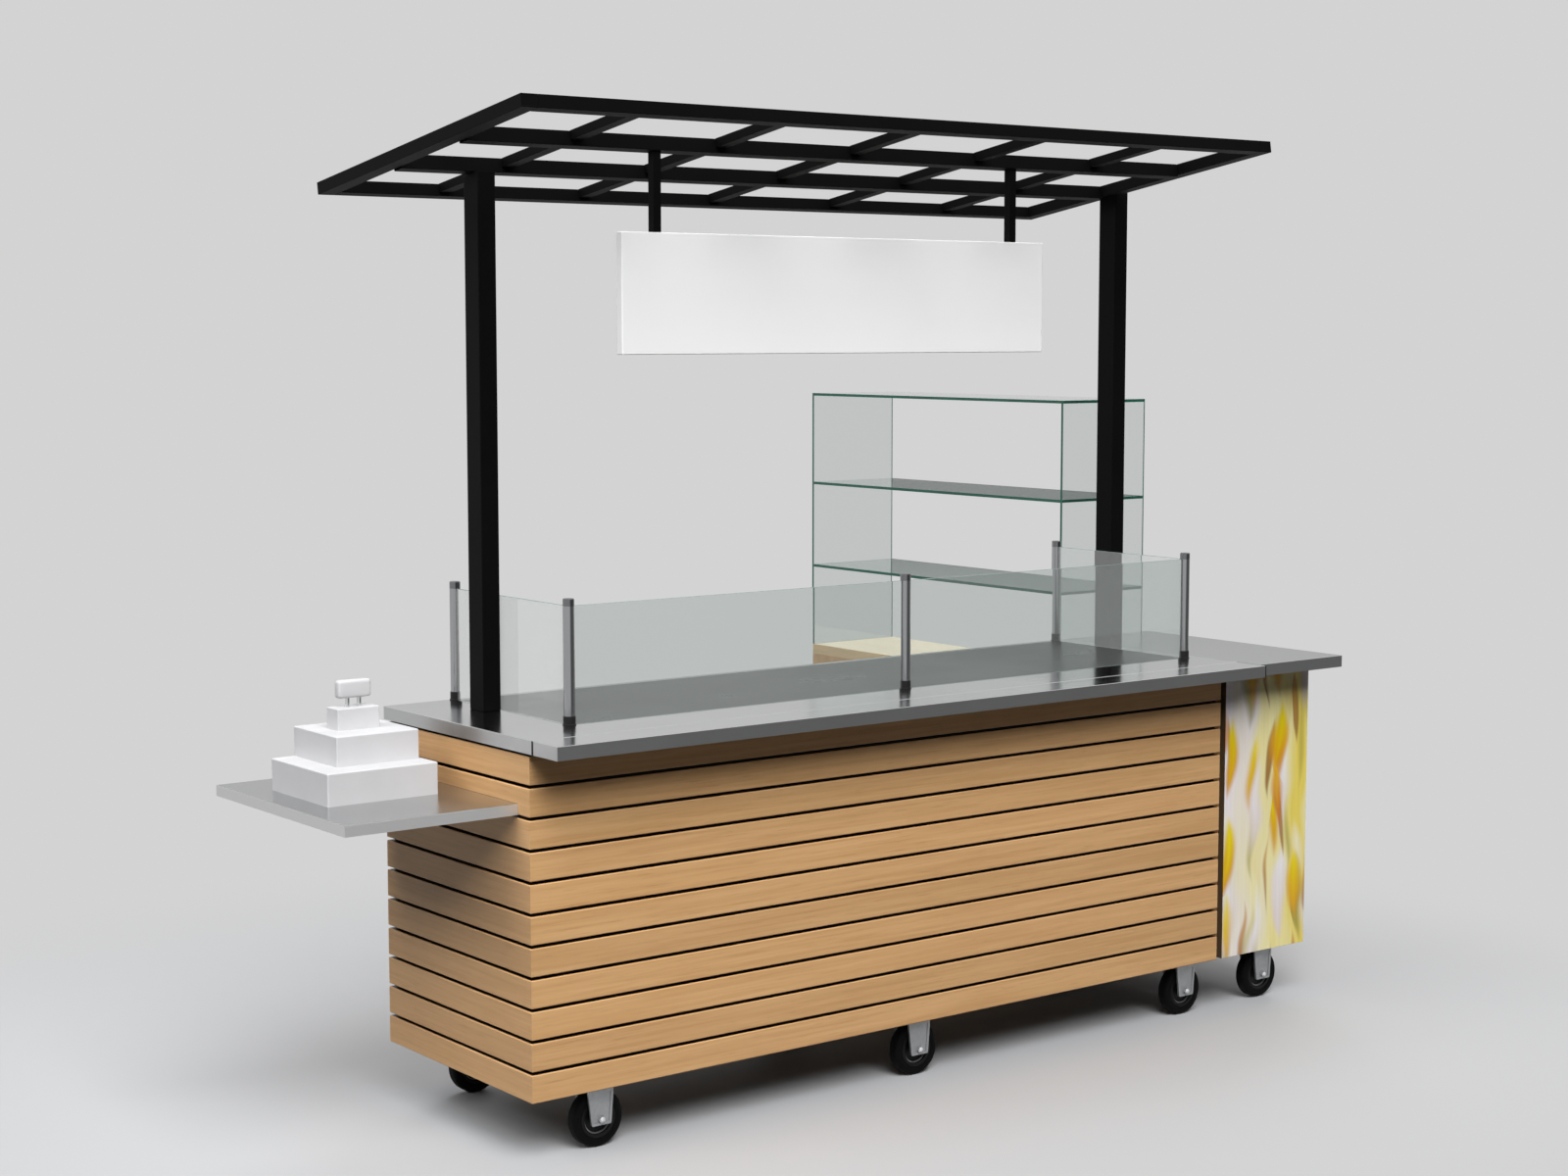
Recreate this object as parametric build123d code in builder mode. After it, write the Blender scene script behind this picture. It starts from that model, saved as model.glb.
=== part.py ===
from build123d import *
from math import cos, radians, sin
import os

# Main counter
body_length = 2078
body_depth = 616
slat_count = 11
slat_height = 61
slat_gap = 7
slat_thickness = 20
slat_edge_radius = 2.5
skirt_height = 138
backing_thickness = 12
board_thickness = 18
tube_size = 40
tube_wall = 2.5
shelf_board = 12
inner_shelf_height = 520
joint_gap = 0.2

# Steel tops, folded from sheet
pan_depth = 30
pan_sheet = 3
pan_edge_radius = 1.5
top_left_overhang = 6
top_front_overhang = 22
top_right_overhang = 34
top_back_inset = 4
ledge_reach = 119
ledge_gap = 4
spacer_width = 40
spacer_inset = 120
spacer_count = 4
return_top_gap = 4
return_ledge_reach = 95
return_top_overhang = 20

# Return cabinet
module_gap = 20
return_width = 314
return_length = 1729
print_panel_thickness = 20
deck_height = 796
deck_thickness = 30
return_shelf_height = 478
stile_width = 60
end_stile_width = 82
frame_rail_width = 60
return_bay_count = 3

# Glass case on the return
case_glass = 8
case_height = 775
case_shelf_heights = (240, 495)
case_setback = 4

# Glass guard on the main top
guard_left_inset = 174
guard_right_inset = 18
guard_front_inset = 116
guard_back_inset = 15
stanchion_diameter = 25
stanchion_height = 258
stanchion_cap_height = 16
cap_chamfer = 1.5
guard_glass = 8
groove_depth = 6
groove_clearance = 0.1

# Canopy lattice, posts and hanging sign
canopy_front_reach = 150
canopy_front_height = 2226
canopy_left_reach = 95
canopy_depth = 876
canopy_tilt = 8.9
end_bar_width = 40
rim_height = 28
rail_width = 34
inner_rail_height = 32
rail_count = 4
bar_width = 30
bar_height = 20
bar_count = 5
first_bar_inset = 306
last_bar_inset = 335
bar_wall = 2
post_width = 45
post_depth = 60
post_wall = 3
post_glass_gap = 1
sign_left_inset = 328
sign_width = 1236
sign_height = 265
sign_thickness = 22
sign_drop = 174
sign_edge_radius = 2
rod_size = 20
rod_wall = 1.5
rod_left_inset = 94
rod_right_inset = 99

# Side shelf and till
side_shelf_reach = 405
side_shelf_front = 46
side_shelf_depth = 594
side_shelf_thickness = 24
side_shelf_sheet = 2
slat_count_below_shelf = 9
shelf_fit = 0.3
till_left_inset = 68
till_front_inset = 202
till_width = 262
till_depth = 260
till_height = 70
till_wall = 4
till_edge_radius = 3
keyboard_width = 197
keyboard_depth = 199
keyboard_height = 65
keyboard_right_inset = 11
head_left_inset = 42
head_width = 101
head_depth = 52
head_height = 47
display_width = 79
display_height = 31
display_depth = 24
display_edge_radius = 6
display_lift = 27
display_post_diameter = 9
display_post_spacing = 28
drawer_fit = 0.6
drawer_front = 6
drawer_wall = 3

# Sliding doors on the working side
door_thickness = 12
door_clearance = 1
door_run_gap = 0.3
door_overlap = 36
door_end_gap = 2
door_lift_room = 12
track_wall = 2
track_base = 4
track_height = 20
pull_diameter = 40
pull_depth = 8
pull_inset = 70

# Swivel casters
wheel_diameter = 127
tyre_width = 32
tyre_thickness = 20
tyre_shoulder = 9
rim_thickness = 8
web_thickness = 9
boss_diameter = 30
boss_side_gap = 0.3
axle_diameter = 10
axle_clearance = 0.05
axle_head_diameter = 18
axle_head_height = 6
caster_trail = 20
caster_left_inset = 138
caster_right_inset = 86
return_caster_shift = 10
caster_height = 150
plate_length = 92
plate_width = 64
plate_thickness = 6
race_diameter = 52
crown_height = 137
swivel_gap = 0.3
kingpin_diameter = 12
kingpin_clearance = 0.05
king_nut_diameter = 18
king_nut_height = 4
fork_sheet = 4
fork_inner_width = 42
fork_bend_radius = 7
fork_crown_diameter = 56
fork_top_length = 64
fork_top_depth = 12
fork_foot_length = 50
fork_foot_drop = 12
fork_foot_radius = 4
fork_lean = 1.5
fork_rib_width = 6
fork_rib_height = 2

# Levels of the main counter
slat_pitch = slat_height + slat_gap
pan_bottom = skirt_height + slat_count * slat_pitch
counter_height = pan_bottom + pan_depth
frame_top = counter_height - pan_sheet
base_top = caster_height + tube_size

# Outline of the whole cart, centred on the origin
reach_right = body_length + module_gap + return_width + return_top_overhang
body_left = (side_shelf_reach - reach_right) / 2
body_front = (canopy_front_reach - return_length) / 2
body_right = body_left + body_length
body_back = body_front + body_depth
top_back = body_back - top_back_inset
cladding = slat_thickness + backing_thickness

# Steel frame inside the cladding
track_slot = door_thickness + 2 * door_clearance
track_depth = 3 * track_wall + 2 * track_slot
frame_left = body_left + cladding
frame_right = body_right - board_thickness
frame_front = body_front + cladding
frame_back = body_back - track_depth
frame_middle = (frame_left + frame_right) / 2
front_row = (frame_front, frame_front + tube_size)
back_row = (frame_back - tube_size, frame_back)
between_rows = (front_row[1], back_row[0])
tube_columns = (
    (frame_left, frame_left + tube_size),
    (frame_middle - tube_size / 2, frame_middle + tube_size / 2),
    (frame_right - tube_size, frame_right),
)

# Return cabinet limits
return_left = body_right + module_gap
return_right = return_left + return_width
return_middle = (return_left + return_right) / 2
return_back = body_front + return_length
return_inside = (return_left + board_thickness, return_right - board_thickness)
print_back = body_front + print_panel_thickness
partition_back = top_back - pan_sheet
end_board_front = return_back - board_thickness
deck_bottom = deck_height - deck_thickness

# Side shelf limits
side_shelf_bottom = skirt_height + slat_count_below_shelf * slat_pitch
side_shelf_top = side_shelf_bottom + side_shelf_thickness
side_shelf_left = body_left - side_shelf_reach
side_shelf_y = (body_front + side_shelf_front, body_front + side_shelf_front + side_shelf_depth)

# Guard centres
top_right = body_right + top_right_overhang
guard_left = body_left + guard_left_inset
guard_right = body_right - guard_right_inset
guard_middle = (guard_left + guard_right) / 2
guard_front = body_front + guard_front_inset
guard_back = top_back - guard_back_inset
groove_floor = stanchion_diameter / 2 - groove_depth
glass_end = groove_floor + groove_clearance

# Canopy plane: local x runs to the right, local y down the slope to the back
tilt_sin = sin(radians(canopy_tilt))
tilt_cos = cos(radians(canopy_tilt))
canopy_left = body_left - canopy_left_reach
right_post_left = guard_right + guard_glass / 2 + post_glass_gap
left_post_left = guard_left - guard_glass / 2 - post_glass_gap - post_width
canopy_width = right_post_left - canopy_left
canopy_front = body_front - canopy_front_reach + rim_height * tilt_sin
canopy_plane = Plane(
    origin=(canopy_left, canopy_front, canopy_front_height),
    x_dir=(1, 0, 0),
    z_dir=(0, tilt_sin, tilt_cos),
)
slope_dir = (0, tilt_cos, -tilt_sin)
rail_pitch = (canopy_depth - rail_width) / (rail_count - 1)
rail_places = [rail_width / 2 + rail_pitch * i for i in range(rail_count)]
rail_heights = [rim_height if i in (0, rail_count - 1) else inner_rail_height for i in range(rail_count)]
bar_pitch = (canopy_width - first_bar_inset - last_bar_inset) / (bar_count - 1)
bar_places = [first_bar_inset + bar_pitch * i for i in range(bar_count)]


def rail_y(index):
    return canopy_front + rail_places[index] * tilt_cos - inner_rail_height * tilt_sin


post_y = rail_y(2)
sign_y = rail_y(1)

# Caster places: name, then the swivel axis
caster_columns = {
    "left": frame_left + caster_left_inset,
    "middle": (frame_left + caster_left_inset + frame_right - caster_right_inset) / 2,
    "right": frame_right - caster_right_inset,
}
caster_rows = {"front": sum(front_row) / 2, "rear": sum(back_row) / 2}
return_tube_rows = {
    "front": print_back + backing_thickness + tube_size / 2,
    "rear": end_board_front - backing_thickness - tube_size / 2,
}
casters = {f"{r}_{c}": (x, y) for r, y in caster_rows.items() for c, x in caster_columns.items()}
return_column = return_middle + return_caster_shift
casters.update({f"return_{r}": (return_column, y) for r, y in return_tube_rows.items()})
wheel_radius = wheel_diameter / 2
fork_width = fork_inner_width + 2 * fork_sheet
fork_middle = caster_trail - fork_lean

os.makedirs("parts", exist_ok=True)


def save(shape, label):
    shape.label = label
    export_step(shape, f"parts/{label}.step")


# A block between two limits on each axis
def block(xs, ys, zs, mode=Mode.ADD):
    with Locations((sum(xs) / 2, sum(ys) / 2, sum(zs) / 2)):
        Box(xs[1] - xs[0], ys[1] - ys[0], zs[1] - zs[0], mode=mode)


# A square tube between the same limits, open at both ends of its axis
def tube(xs, ys, zs, axis):
    block(xs, ys, zs)
    bore = [(low + tube_wall, high - tube_wall) for low, high in (xs, ys, zs)]
    bore[axis] = (xs, ys, zs)[axis]
    block(*bore, mode=Mode.SUBTRACT)


# A folded sheet pan, open underneath, with its top edges eased
def pan(xs, ys, zs, sheet):
    with BuildPart() as folded:
        block(xs, ys, zs)
        fillet(folded.faces().sort_by(Axis.Z)[-1].edges(), pan_edge_radius)
        block(
            (xs[0] + sheet, xs[1] - sheet),
            (ys[0] + sheet, ys[1] - sheet),
            (zs[0], zs[1] - sheet),
            mode=Mode.SUBTRACT,
        )
    return folded.part


# Frame of the main counter: long rails, uprights, cross tubes
with BuildPart() as frame_rails:
    for row in (front_row, back_row):
        tube((frame_left, frame_right), row, (caster_height, base_top), 0)
        tube((frame_left, frame_right), row, (frame_top - tube_size, frame_top), 0)
save(frame_rails.part, "frame_rails")

with BuildPart() as frame_uprights:
    for row in (front_row, back_row):
        for column in tube_columns:
            tube(column, row, (base_top, frame_top - tube_size), 2)
save(frame_uprights.part, "frame_uprights")

with BuildPart() as frame_cross_tubes:
    for column in tube_columns:
        tube(column, between_rows, (caster_height, base_top), 1)
        tube(column, between_rows, (frame_top - tube_size, frame_top), 1)
    for row in (front_row, back_row):
        for left, right in zip(tube_columns, tube_columns[1:]):
            tube((left[1], right[0]), row, (inner_shelf_height - tube_size, inner_shelf_height), 0)
save(frame_cross_tubes.part, "frame_cross_tubes")

# Boards inside the main counter
with BuildPart() as floor_board:
    block((frame_left, frame_right), (front_row[1], back_row[0]), (base_top, base_top + shelf_board))
save(floor_board.part, "floor_board")

with BuildPart() as inner_shelf:
    shelf_limits = (inner_shelf_height, inner_shelf_height + shelf_board)
    block((frame_left, frame_right), (frame_front, frame_back), shelf_limits)
    for column in tube_columns:
        for row in (front_row, back_row):
            notch = [(low - joint_gap, high + joint_gap) for low, high in (column, row)]
            block(*notch, shelf_limits, mode=Mode.SUBTRACT)
save(inner_shelf.part, "inner_shelf")

with BuildPart() as backing_boards:
    backing_z = (caster_height, pan_bottom)
    block((body_left + slat_thickness, body_right), (body_front + slat_thickness, frame_front), backing_z)
    end_y = (frame_front + joint_gap, body_back)
    block((body_left + slat_thickness, frame_left), end_y, (caster_height, side_shelf_bottom))
    block((body_left + slat_thickness, frame_left), end_y, (side_shelf_top, pan_bottom))
save(backing_boards.part, "backing_boards")

with BuildPart() as side_panel:
    block((frame_right, body_right), (frame_front, body_back), (caster_height, pan_bottom))
save(side_panel.part, "side_panel")

# Slat cladding, mitred where the front meets the left end
slat_middles = [skirt_height + slat_pitch * i + slat_height / 2 for i in range(slat_count)]
with BuildPart() as front_slats:
    with BuildSketch(Plane.YZ.offset(body_left)) as slat_profile:
        with Locations(*[(body_front + slat_thickness / 2, z) for z in slat_middles]):
            Rectangle(slat_thickness, slat_height)
        fillet(slat_profile.vertices().group_by(Axis.X)[0], slat_edge_radius)
    extrude(amount=body_length)
    with BuildSketch(Plane.XY.offset(skirt_height)):
        with BuildLine():
            corner = (body_left, body_front)
            inner_corner = (body_left + slat_thickness, body_front + slat_thickness)
            Polyline(corner, inner_corner, (corner[0], inner_corner[1]), close=True)
        make_face()
    extrude(amount=pan_bottom - skirt_height, mode=Mode.SUBTRACT)
save(front_slats.part, "front_slats")

with BuildPart() as end_slats:
    with BuildSketch(Plane((0, body_front, 0), x_dir=(1, 0, 0), z_dir=(0, -1, 0))) as slat_profile:
        with Locations(*[(body_left + slat_thickness / 2, z) for z in slat_middles]):
            Rectangle(slat_thickness, slat_height)
        fillet(slat_profile.vertices().group_by(Axis.X)[0], slat_edge_radius)
    extrude(amount=-body_depth)
    with BuildSketch(Plane.XY.offset(skirt_height)):
        with BuildLine():
            Polyline(corner, inner_corner, (inner_corner[0], corner[1]), close=True)
        make_face()
    extrude(amount=pan_bottom - skirt_height, mode=Mode.SUBTRACT)
    block(
        (body_left, body_left + slat_thickness),
        (side_shelf_y[0] - shelf_fit, body_back),
        (side_shelf_bottom - slat_gap / 2, side_shelf_top + shelf_fit),
        mode=Mode.SUBTRACT,
    )
save(end_slats.part, "end_slats")

# Steel tops
pan_z = (pan_bottom, counter_height)
top_x = (body_left - top_left_overhang, top_right)
top_front = body_front - top_front_overhang
main_top = pan(top_x, (top_front, top_back), pan_z, pan_sheet)
save(main_top, "main_top")

# The serving ledge hangs on spacers that leave an open seam in front of the main top
ledge_back = top_front - ledge_gap
first_spacer = top_x[0] + spacer_inset
spacer_pitch = (top_x[1] - top_x[0] - 2 * spacer_inset) / (spacer_count - 1)
with BuildPart() as front_ledge:
    add(pan(top_x, (body_front - ledge_reach, ledge_back), pan_z, pan_sheet))
    for i in range(spacer_count):
        x = first_spacer + spacer_pitch * i
        spacer_x = (x - spacer_width / 2, x + spacer_width / 2)
        block(spacer_x, (ledge_back, top_front), (pan_bottom, counter_height - 3 * pan_sheet))
save(front_ledge.part, "front_ledge")

return_top = pan(
    (top_right + return_top_gap, return_right + return_top_overhang),
    (body_front - return_ledge_reach, top_back),
    pan_z,
    pan_sheet,
)
save(return_top, "return_top")

# Tracks and sliding doors on the working side
track_bottom = base_top + shelf_board - track_height
track_ceiling = pan_bottom
slot_places = [frame_back + track_wall + (track_wall + track_slot) * i for i in range(2)]
with BuildPart() as door_tracks:
    for low in (track_bottom, track_ceiling - track_height):
        block((frame_left, frame_right), (frame_back, body_back), (low, low + track_height))
    for slot in slot_places:
        slot_y = (slot, slot + track_slot)
        lower_slot = (track_bottom + track_base, track_bottom + track_height)
        upper_slot = (track_ceiling - track_height, track_ceiling - track_base)
        block((frame_left, frame_right), slot_y, lower_slot, mode=Mode.SUBTRACT)
        block((frame_left, frame_right), slot_y, upper_slot, mode=Mode.SUBTRACT)
save(door_tracks.part, "door_tracks")

door_width = (frame_right - frame_left + door_overlap) / 2 - door_end_gap
door_z = (track_bottom + track_base + door_run_gap, track_ceiling - track_base - door_lift_room)


# One door with a round finger pull sunk in its outer face
def sliding_door(left, slot, pull_x):
    with BuildPart() as door:
        door_y = (slot + door_clearance, slot + door_clearance + door_thickness)
        block((left, left + door_width), door_y, door_z)
        outer_face = Plane((pull_x, door_y[1], sum(door_z) / 2), x_dir=(1, 0, 0), z_dir=(0, 1, 0))
        with BuildSketch(outer_face):
            Circle(pull_diameter / 2)
        extrude(amount=-pull_depth, mode=Mode.SUBTRACT)
    return door.part


left_door_left = frame_left + door_end_gap
left_door = sliding_door(left_door_left, slot_places[1], left_door_left + pull_inset)
save(left_door, "left_door")

right_door_left = frame_right - door_end_gap - door_width
right_door = sliding_door(right_door_left, slot_places[0], right_door_left + door_width - pull_inset)
save(right_door, "right_door")

# Return cabinet
with BuildPart() as return_base:
    rail_y_limits = (print_back, end_board_front)
    left_rail = (return_inside[0], return_inside[0] + tube_size)
    right_rail = (return_inside[1] - tube_size, return_inside[1])
    base_z = (caster_height, base_top)
    for rail in (left_rail, right_rail):
        tube(rail, rail_y_limits, base_z, 1)
    middle_row = sum(rail_y_limits) / 2
    for y in (*return_tube_rows.values(), middle_row):
        cross_y = (y - tube_size / 2, y + tube_size / 2)
        tube((left_rail[1] + joint_gap, right_rail[0] - joint_gap), cross_y, base_z, 0)
save(return_base.part, "return_base")

with BuildPart() as return_shelves:
    block(return_inside, (print_back, end_board_front), (base_top, base_top + shelf_board))
    shelf_z = (return_shelf_height, return_shelf_height + shelf_board)
    block(return_inside, (partition_back, end_board_front), shelf_z)
save(return_shelves.part, "return_shelves")

with BuildPart() as print_panel:
    block((return_left, return_right), (body_front, print_back), (skirt_height, pan_bottom))
    tongue_x = (top_right + return_top_gap + pan_sheet, return_right)
    block(tongue_x, (body_front, print_back), (pan_bottom, frame_top))
save(print_panel.part, "print_panel")

with BuildPart() as return_inner_board:
    inner_x = (return_left, return_inside[0])
    block(inner_x, (print_back, partition_back), (skirt_height, pan_bottom))
save(return_inner_board.part, "return_inner_board")

with BuildPart() as return_outer_boards:
    outer_x = (return_inside[1], return_right)
    block(outer_x, (print_back, partition_back), (skirt_height, frame_top))
    block(outer_x, (partition_back + joint_gap, end_board_front), (skirt_height, deck_bottom))
save(return_outer_boards.part, "return_outer_boards")

with BuildPart() as return_partition:
    partition_y = (partition_back - board_thickness, partition_back)
    block(return_inside, partition_y, (base_top + shelf_board, pan_bottom))
    tongue_x = (top_right + return_top_gap + pan_sheet, return_inside[1])
    block(tongue_x, partition_y, (pan_bottom, frame_top))
save(return_partition.part, "return_partition")

with BuildPart() as return_end_board:
    block((return_left, return_right), (end_board_front, return_back), (skirt_height, deck_bottom))
save(return_end_board.part, "return_end_board")

with BuildPart() as case_deck:
    block((return_left, return_right), (partition_back, return_back), (deck_bottom, deck_height))
save(case_deck.part, "case_deck")

# Face frame round the open bays of the return
with BuildPart() as face_frame:
    frame_y = (partition_back, end_board_front)
    low_rail = (skirt_height, base_top + shelf_board)
    high_rail = (deck_bottom - frame_rail_width, deck_bottom)
    for rail in (low_rail, high_rail):
        block(inner_x, frame_y, rail)
    stile_z = (low_rail[1] + joint_gap, high_rail[0] - joint_gap)
    last_stile = end_board_front - end_stile_width
    bay_width = (last_stile - partition_back - return_bay_count * stile_width) / return_bay_count
    for i in range(return_bay_count):
        stile_start = partition_back + i * (stile_width + bay_width)
        block(inner_x, (stile_start, stile_start + stile_width), stile_z)
    block(inner_x, (last_stile, end_board_front), stile_z)
save(face_frame.part, "face_frame")

# Glass case
case_x = (return_left, return_right)
case_front = partition_back + pan_sheet + case_setback
lid_bottom = deck_height + case_height - case_glass
with BuildPart() as case_end_panes:
    for low in (case_front, return_back - case_glass):
        block(case_x, (low, low + case_glass), (deck_height, lid_bottom))
save(case_end_panes.part, "case_end_panes")

with BuildPart() as case_lid:
    block(case_x, (case_front, return_back), (lid_bottom, lid_bottom + case_glass))
save(case_lid.part, "case_lid")

with BuildPart() as case_shelves:
    for height in case_shelf_heights:
        shelf_z = (deck_height + height, deck_height + height + case_glass)
        block(case_x, (case_front + case_glass, return_back - case_glass), shelf_z)
save(case_shelves.part, "case_shelves")

# Guard: stanchions grooved for the glass, their caps, and the panes
stanchion_places = [(x, guard_front) for x in (guard_left, guard_middle, guard_right)]
stanchion_places += [(x, guard_back) for x in (guard_left, guard_right)]
front_panes_x = [(guard_left, guard_middle), (guard_middle, guard_right)]
groove_width = guard_glass + 2 * groove_clearance
stanchion_z = (counter_height, counter_height + stanchion_height)
with BuildPart() as stanchions:
    with BuildSketch(Plane.XY.offset(counter_height)):
        with Locations(*stanchion_places):
            Circle(stanchion_diameter / 2)
    extrude(amount=stanchion_height)
    groove_y = (guard_front - groove_width / 2, guard_front + groove_width / 2)
    for left, right in front_panes_x:
        groove_x = (left + groove_floor, right - groove_floor)
        block(groove_x, groove_y, stanchion_z, mode=Mode.SUBTRACT)
    for x in (guard_left, guard_right):
        groove_x = (x - groove_width / 2, x + groove_width / 2)
        groove_y = (guard_front + groove_floor, guard_back - groove_floor)
        block(groove_x, groove_y, stanchion_z, mode=Mode.SUBTRACT)
save(stanchions.part, "stanchions")

with BuildPart() as stanchion_caps:
    with BuildSketch(Plane.XY.offset(stanchion_z[1])):
        with Locations(*stanchion_places):
            Circle(stanchion_diameter / 2)
    extrude(amount=stanchion_cap_height)
    top_edges = stanchion_caps.edges().group_by(Axis.Z)[-1]
    chamfer(top_edges, cap_chamfer)
save(stanchion_caps.part, "stanchion_caps")

with BuildPart() as guard_front_panes:
    for left, right in front_panes_x:
        pane_y = (guard_front - guard_glass / 2, guard_front + guard_glass / 2)
        block((left + glass_end, right - glass_end), pane_y, stanchion_z)
save(guard_front_panes.part, "guard_front_panes")

with BuildPart() as guard_end_panes:
    for x in (guard_left, guard_right):
        pane_x = (x - guard_glass / 2, x + guard_glass / 2)
        block(pane_x, (guard_front + glass_end, guard_back - glass_end), stanchion_z)
save(guard_end_panes.part, "guard_end_panes")

# Canopy lattice: two end bars, four rails between them, short cross bars
rail_length = canopy_width - 2 * end_bar_width
with BuildPart() as canopy_end_bars:
    for u in (end_bar_width / 2, canopy_width - end_bar_width / 2):
        start = canopy_plane.from_local_coords((u, 0, -rim_height / 2))
        with BuildSketch(Plane(start, x_dir=(1, 0, 0), z_dir=slope_dir)):
            Rectangle(end_bar_width, rim_height)
            Rectangle(end_bar_width - 2 * bar_wall, rim_height - 2 * bar_wall, mode=Mode.SUBTRACT)
        extrude(amount=canopy_depth)
save(canopy_end_bars.part, "canopy_end_bars")

with BuildPart() as canopy_rails:
    for v, height in zip(rail_places, rail_heights):
        start = canopy_plane.from_local_coords((end_bar_width, v, -height / 2))
        with BuildSketch(Plane(start, x_dir=slope_dir, z_dir=(1, 0, 0))):
            Rectangle(rail_width, height)
            Rectangle(rail_width - 2 * bar_wall, height - 2 * bar_wall, mode=Mode.SUBTRACT)
        extrude(amount=rail_length)
save(canopy_rails.part, "canopy_rails")

with BuildPart() as canopy_cross_bars:
    for u in bar_places:
        for v in rail_places[:-1]:
            start = canopy_plane.from_local_coords((u, v + rail_width / 2, -bar_height / 2))
            with BuildSketch(Plane(start, x_dir=(1, 0, 0), z_dir=slope_dir)):
                Rectangle(bar_width, bar_height)
                Rectangle(bar_width - 2 * bar_wall, bar_height - 2 * bar_wall, mode=Mode.SUBTRACT)
            extrude(amount=rail_pitch - rail_width)
save(canopy_cross_bars.part, "canopy_cross_bars")

# Posts: the left one stands under the lattice, the right one beside its end bar
post_middles = (left_post_left + post_width / 2, right_post_left + post_width / 2)
with BuildPart() as canopy_posts:
    with BuildSketch(Plane.XY.offset(counter_height)):
        with Locations(*[(x, post_y) for x in post_middles]):
            Rectangle(post_width, post_depth)
            Rectangle(post_width - 2 * post_wall, post_depth - 2 * post_wall, mode=Mode.SUBTRACT)
    extrude(amount=canopy_front_height - counter_height)
    for x, drop in zip(post_middles, (inner_rail_height, 0)):
        with BuildSketch(canopy_plane.offset(-drop)):
            with Locations((x - canopy_left, rail_places[2])):
                Rectangle(2 * post_width, 3 * post_depth)
        extrude(amount=canopy_front_height - counter_height, mode=Mode.SUBTRACT)
save(canopy_posts.part, "canopy_posts")

# Hanging sign and its two rods
sign_left = body_left + sign_left_inset
rail_underside = canopy_front_height - rail_places[1] * tilt_sin - inner_rail_height * tilt_cos
sign_top = rail_underside - sign_drop
with BuildPart() as sign_box:
    sign_plane = Plane((sign_left + sign_width / 2, sign_y, sign_top), x_dir=(1, 0, 0), z_dir=(0, 0, 1))
    with BuildSketch(sign_plane):
        Rectangle(sign_width, sign_thickness)
    extrude(amount=-sign_height)
    fillet(sign_box.edges(), sign_edge_radius)
save(sign_box.part, "sign_box")

rod_places = (sign_left + rod_left_inset, sign_left + sign_width - rod_right_inset)
with BuildPart() as sign_rods:
    with BuildSketch(Plane.XY.offset(sign_top)):
        with Locations(*[(x, sign_y) for x in rod_places]):
            Rectangle(rod_size, rod_size)
            Rectangle(rod_size - 2 * rod_wall, rod_size - 2 * rod_wall, mode=Mode.SUBTRACT)
    extrude(amount=canopy_front_height - sign_top)
    with BuildSketch(canopy_plane.offset(-inner_rail_height)):
        with Locations((canopy_width / 2, rail_places[1])):
            Rectangle(canopy_width, rail_pitch)
    extrude(amount=canopy_front_height - sign_top, mode=Mode.SUBTRACT)
save(sign_rods.part, "sign_rods")

# Side shelf: a folded steel pan that passes through the cladding to the uprights
side_shelf = pan(
    (side_shelf_left, frame_left),
    side_shelf_y,
    (side_shelf_bottom, side_shelf_top),
    side_shelf_sheet,
)
save(side_shelf, "side_shelf")

# Till: drawer case, drawer, keyboard and head, display
till_x = (side_shelf_left + till_left_inset, side_shelf_left + till_left_inset + till_width)
till_y = (side_shelf_y[0] + till_front_inset, side_shelf_y[0] + till_front_inset + till_depth)
till_z = (side_shelf_top, side_shelf_top + till_height)
with BuildPart() as till_case:
    block(till_x, till_y, till_z)
    fillet(till_case.edges().filter_by(Axis.Z), till_edge_radius)
    fillet(till_case.faces().sort_by(Axis.Z)[-1].edges(), till_edge_radius)
    bay_x = (till_x[0] + till_wall, till_x[1] - till_wall)
    bay_z = (till_z[0] + till_wall, till_z[1] - till_wall)
    block(bay_x, (till_y[0] + till_wall, till_y[1]), bay_z, mode=Mode.SUBTRACT)
save(till_case.part, "till_case")

with BuildPart() as till_drawer:
    tray_x = (bay_x[0] + drawer_fit, bay_x[1] - drawer_fit)
    tray_y = (till_y[0] + till_wall + drawer_fit, till_y[1])
    tray_z = (bay_z[0] + drawer_fit, bay_z[1] - drawer_fit)
    block(tray_x, tray_y, tray_z)
    block(
        (tray_x[0] + drawer_wall, tray_x[1] - drawer_wall),
        (tray_y[0] + drawer_wall, tray_y[1] - drawer_front),
        (tray_z[0] + drawer_wall, tray_z[1]),
        mode=Mode.SUBTRACT,
    )
save(till_drawer.part, "till_drawer")

keyboard_x = (till_x[1] - keyboard_right_inset - keyboard_width, till_x[1] - keyboard_right_inset)
keyboard_y = (till_y[1] - keyboard_depth, till_y[1])
keyboard_top = till_z[1] + keyboard_height
head_x = keyboard_x[0] + head_left_inset + head_width / 2
head_y = sum(keyboard_y) / 2
head_top = keyboard_top + head_height
with BuildPart() as till_body:
    block(keyboard_x, keyboard_y, (till_z[1], keyboard_top))
    fillet(till_body.edges().filter_by(Axis.Z), till_edge_radius)
    fillet(till_body.faces().sort_by(Axis.Z)[-1].edges(), till_edge_radius)
    with BuildSketch(Plane((head_x, head_y, keyboard_top))):
        RectangleRounded(head_width, head_depth, till_edge_radius)
    extrude(amount=head_height)
    fillet(till_body.faces().sort_by(Axis.Z)[-1].edges(), till_edge_radius)
save(till_body.part, "till_body")

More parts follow.
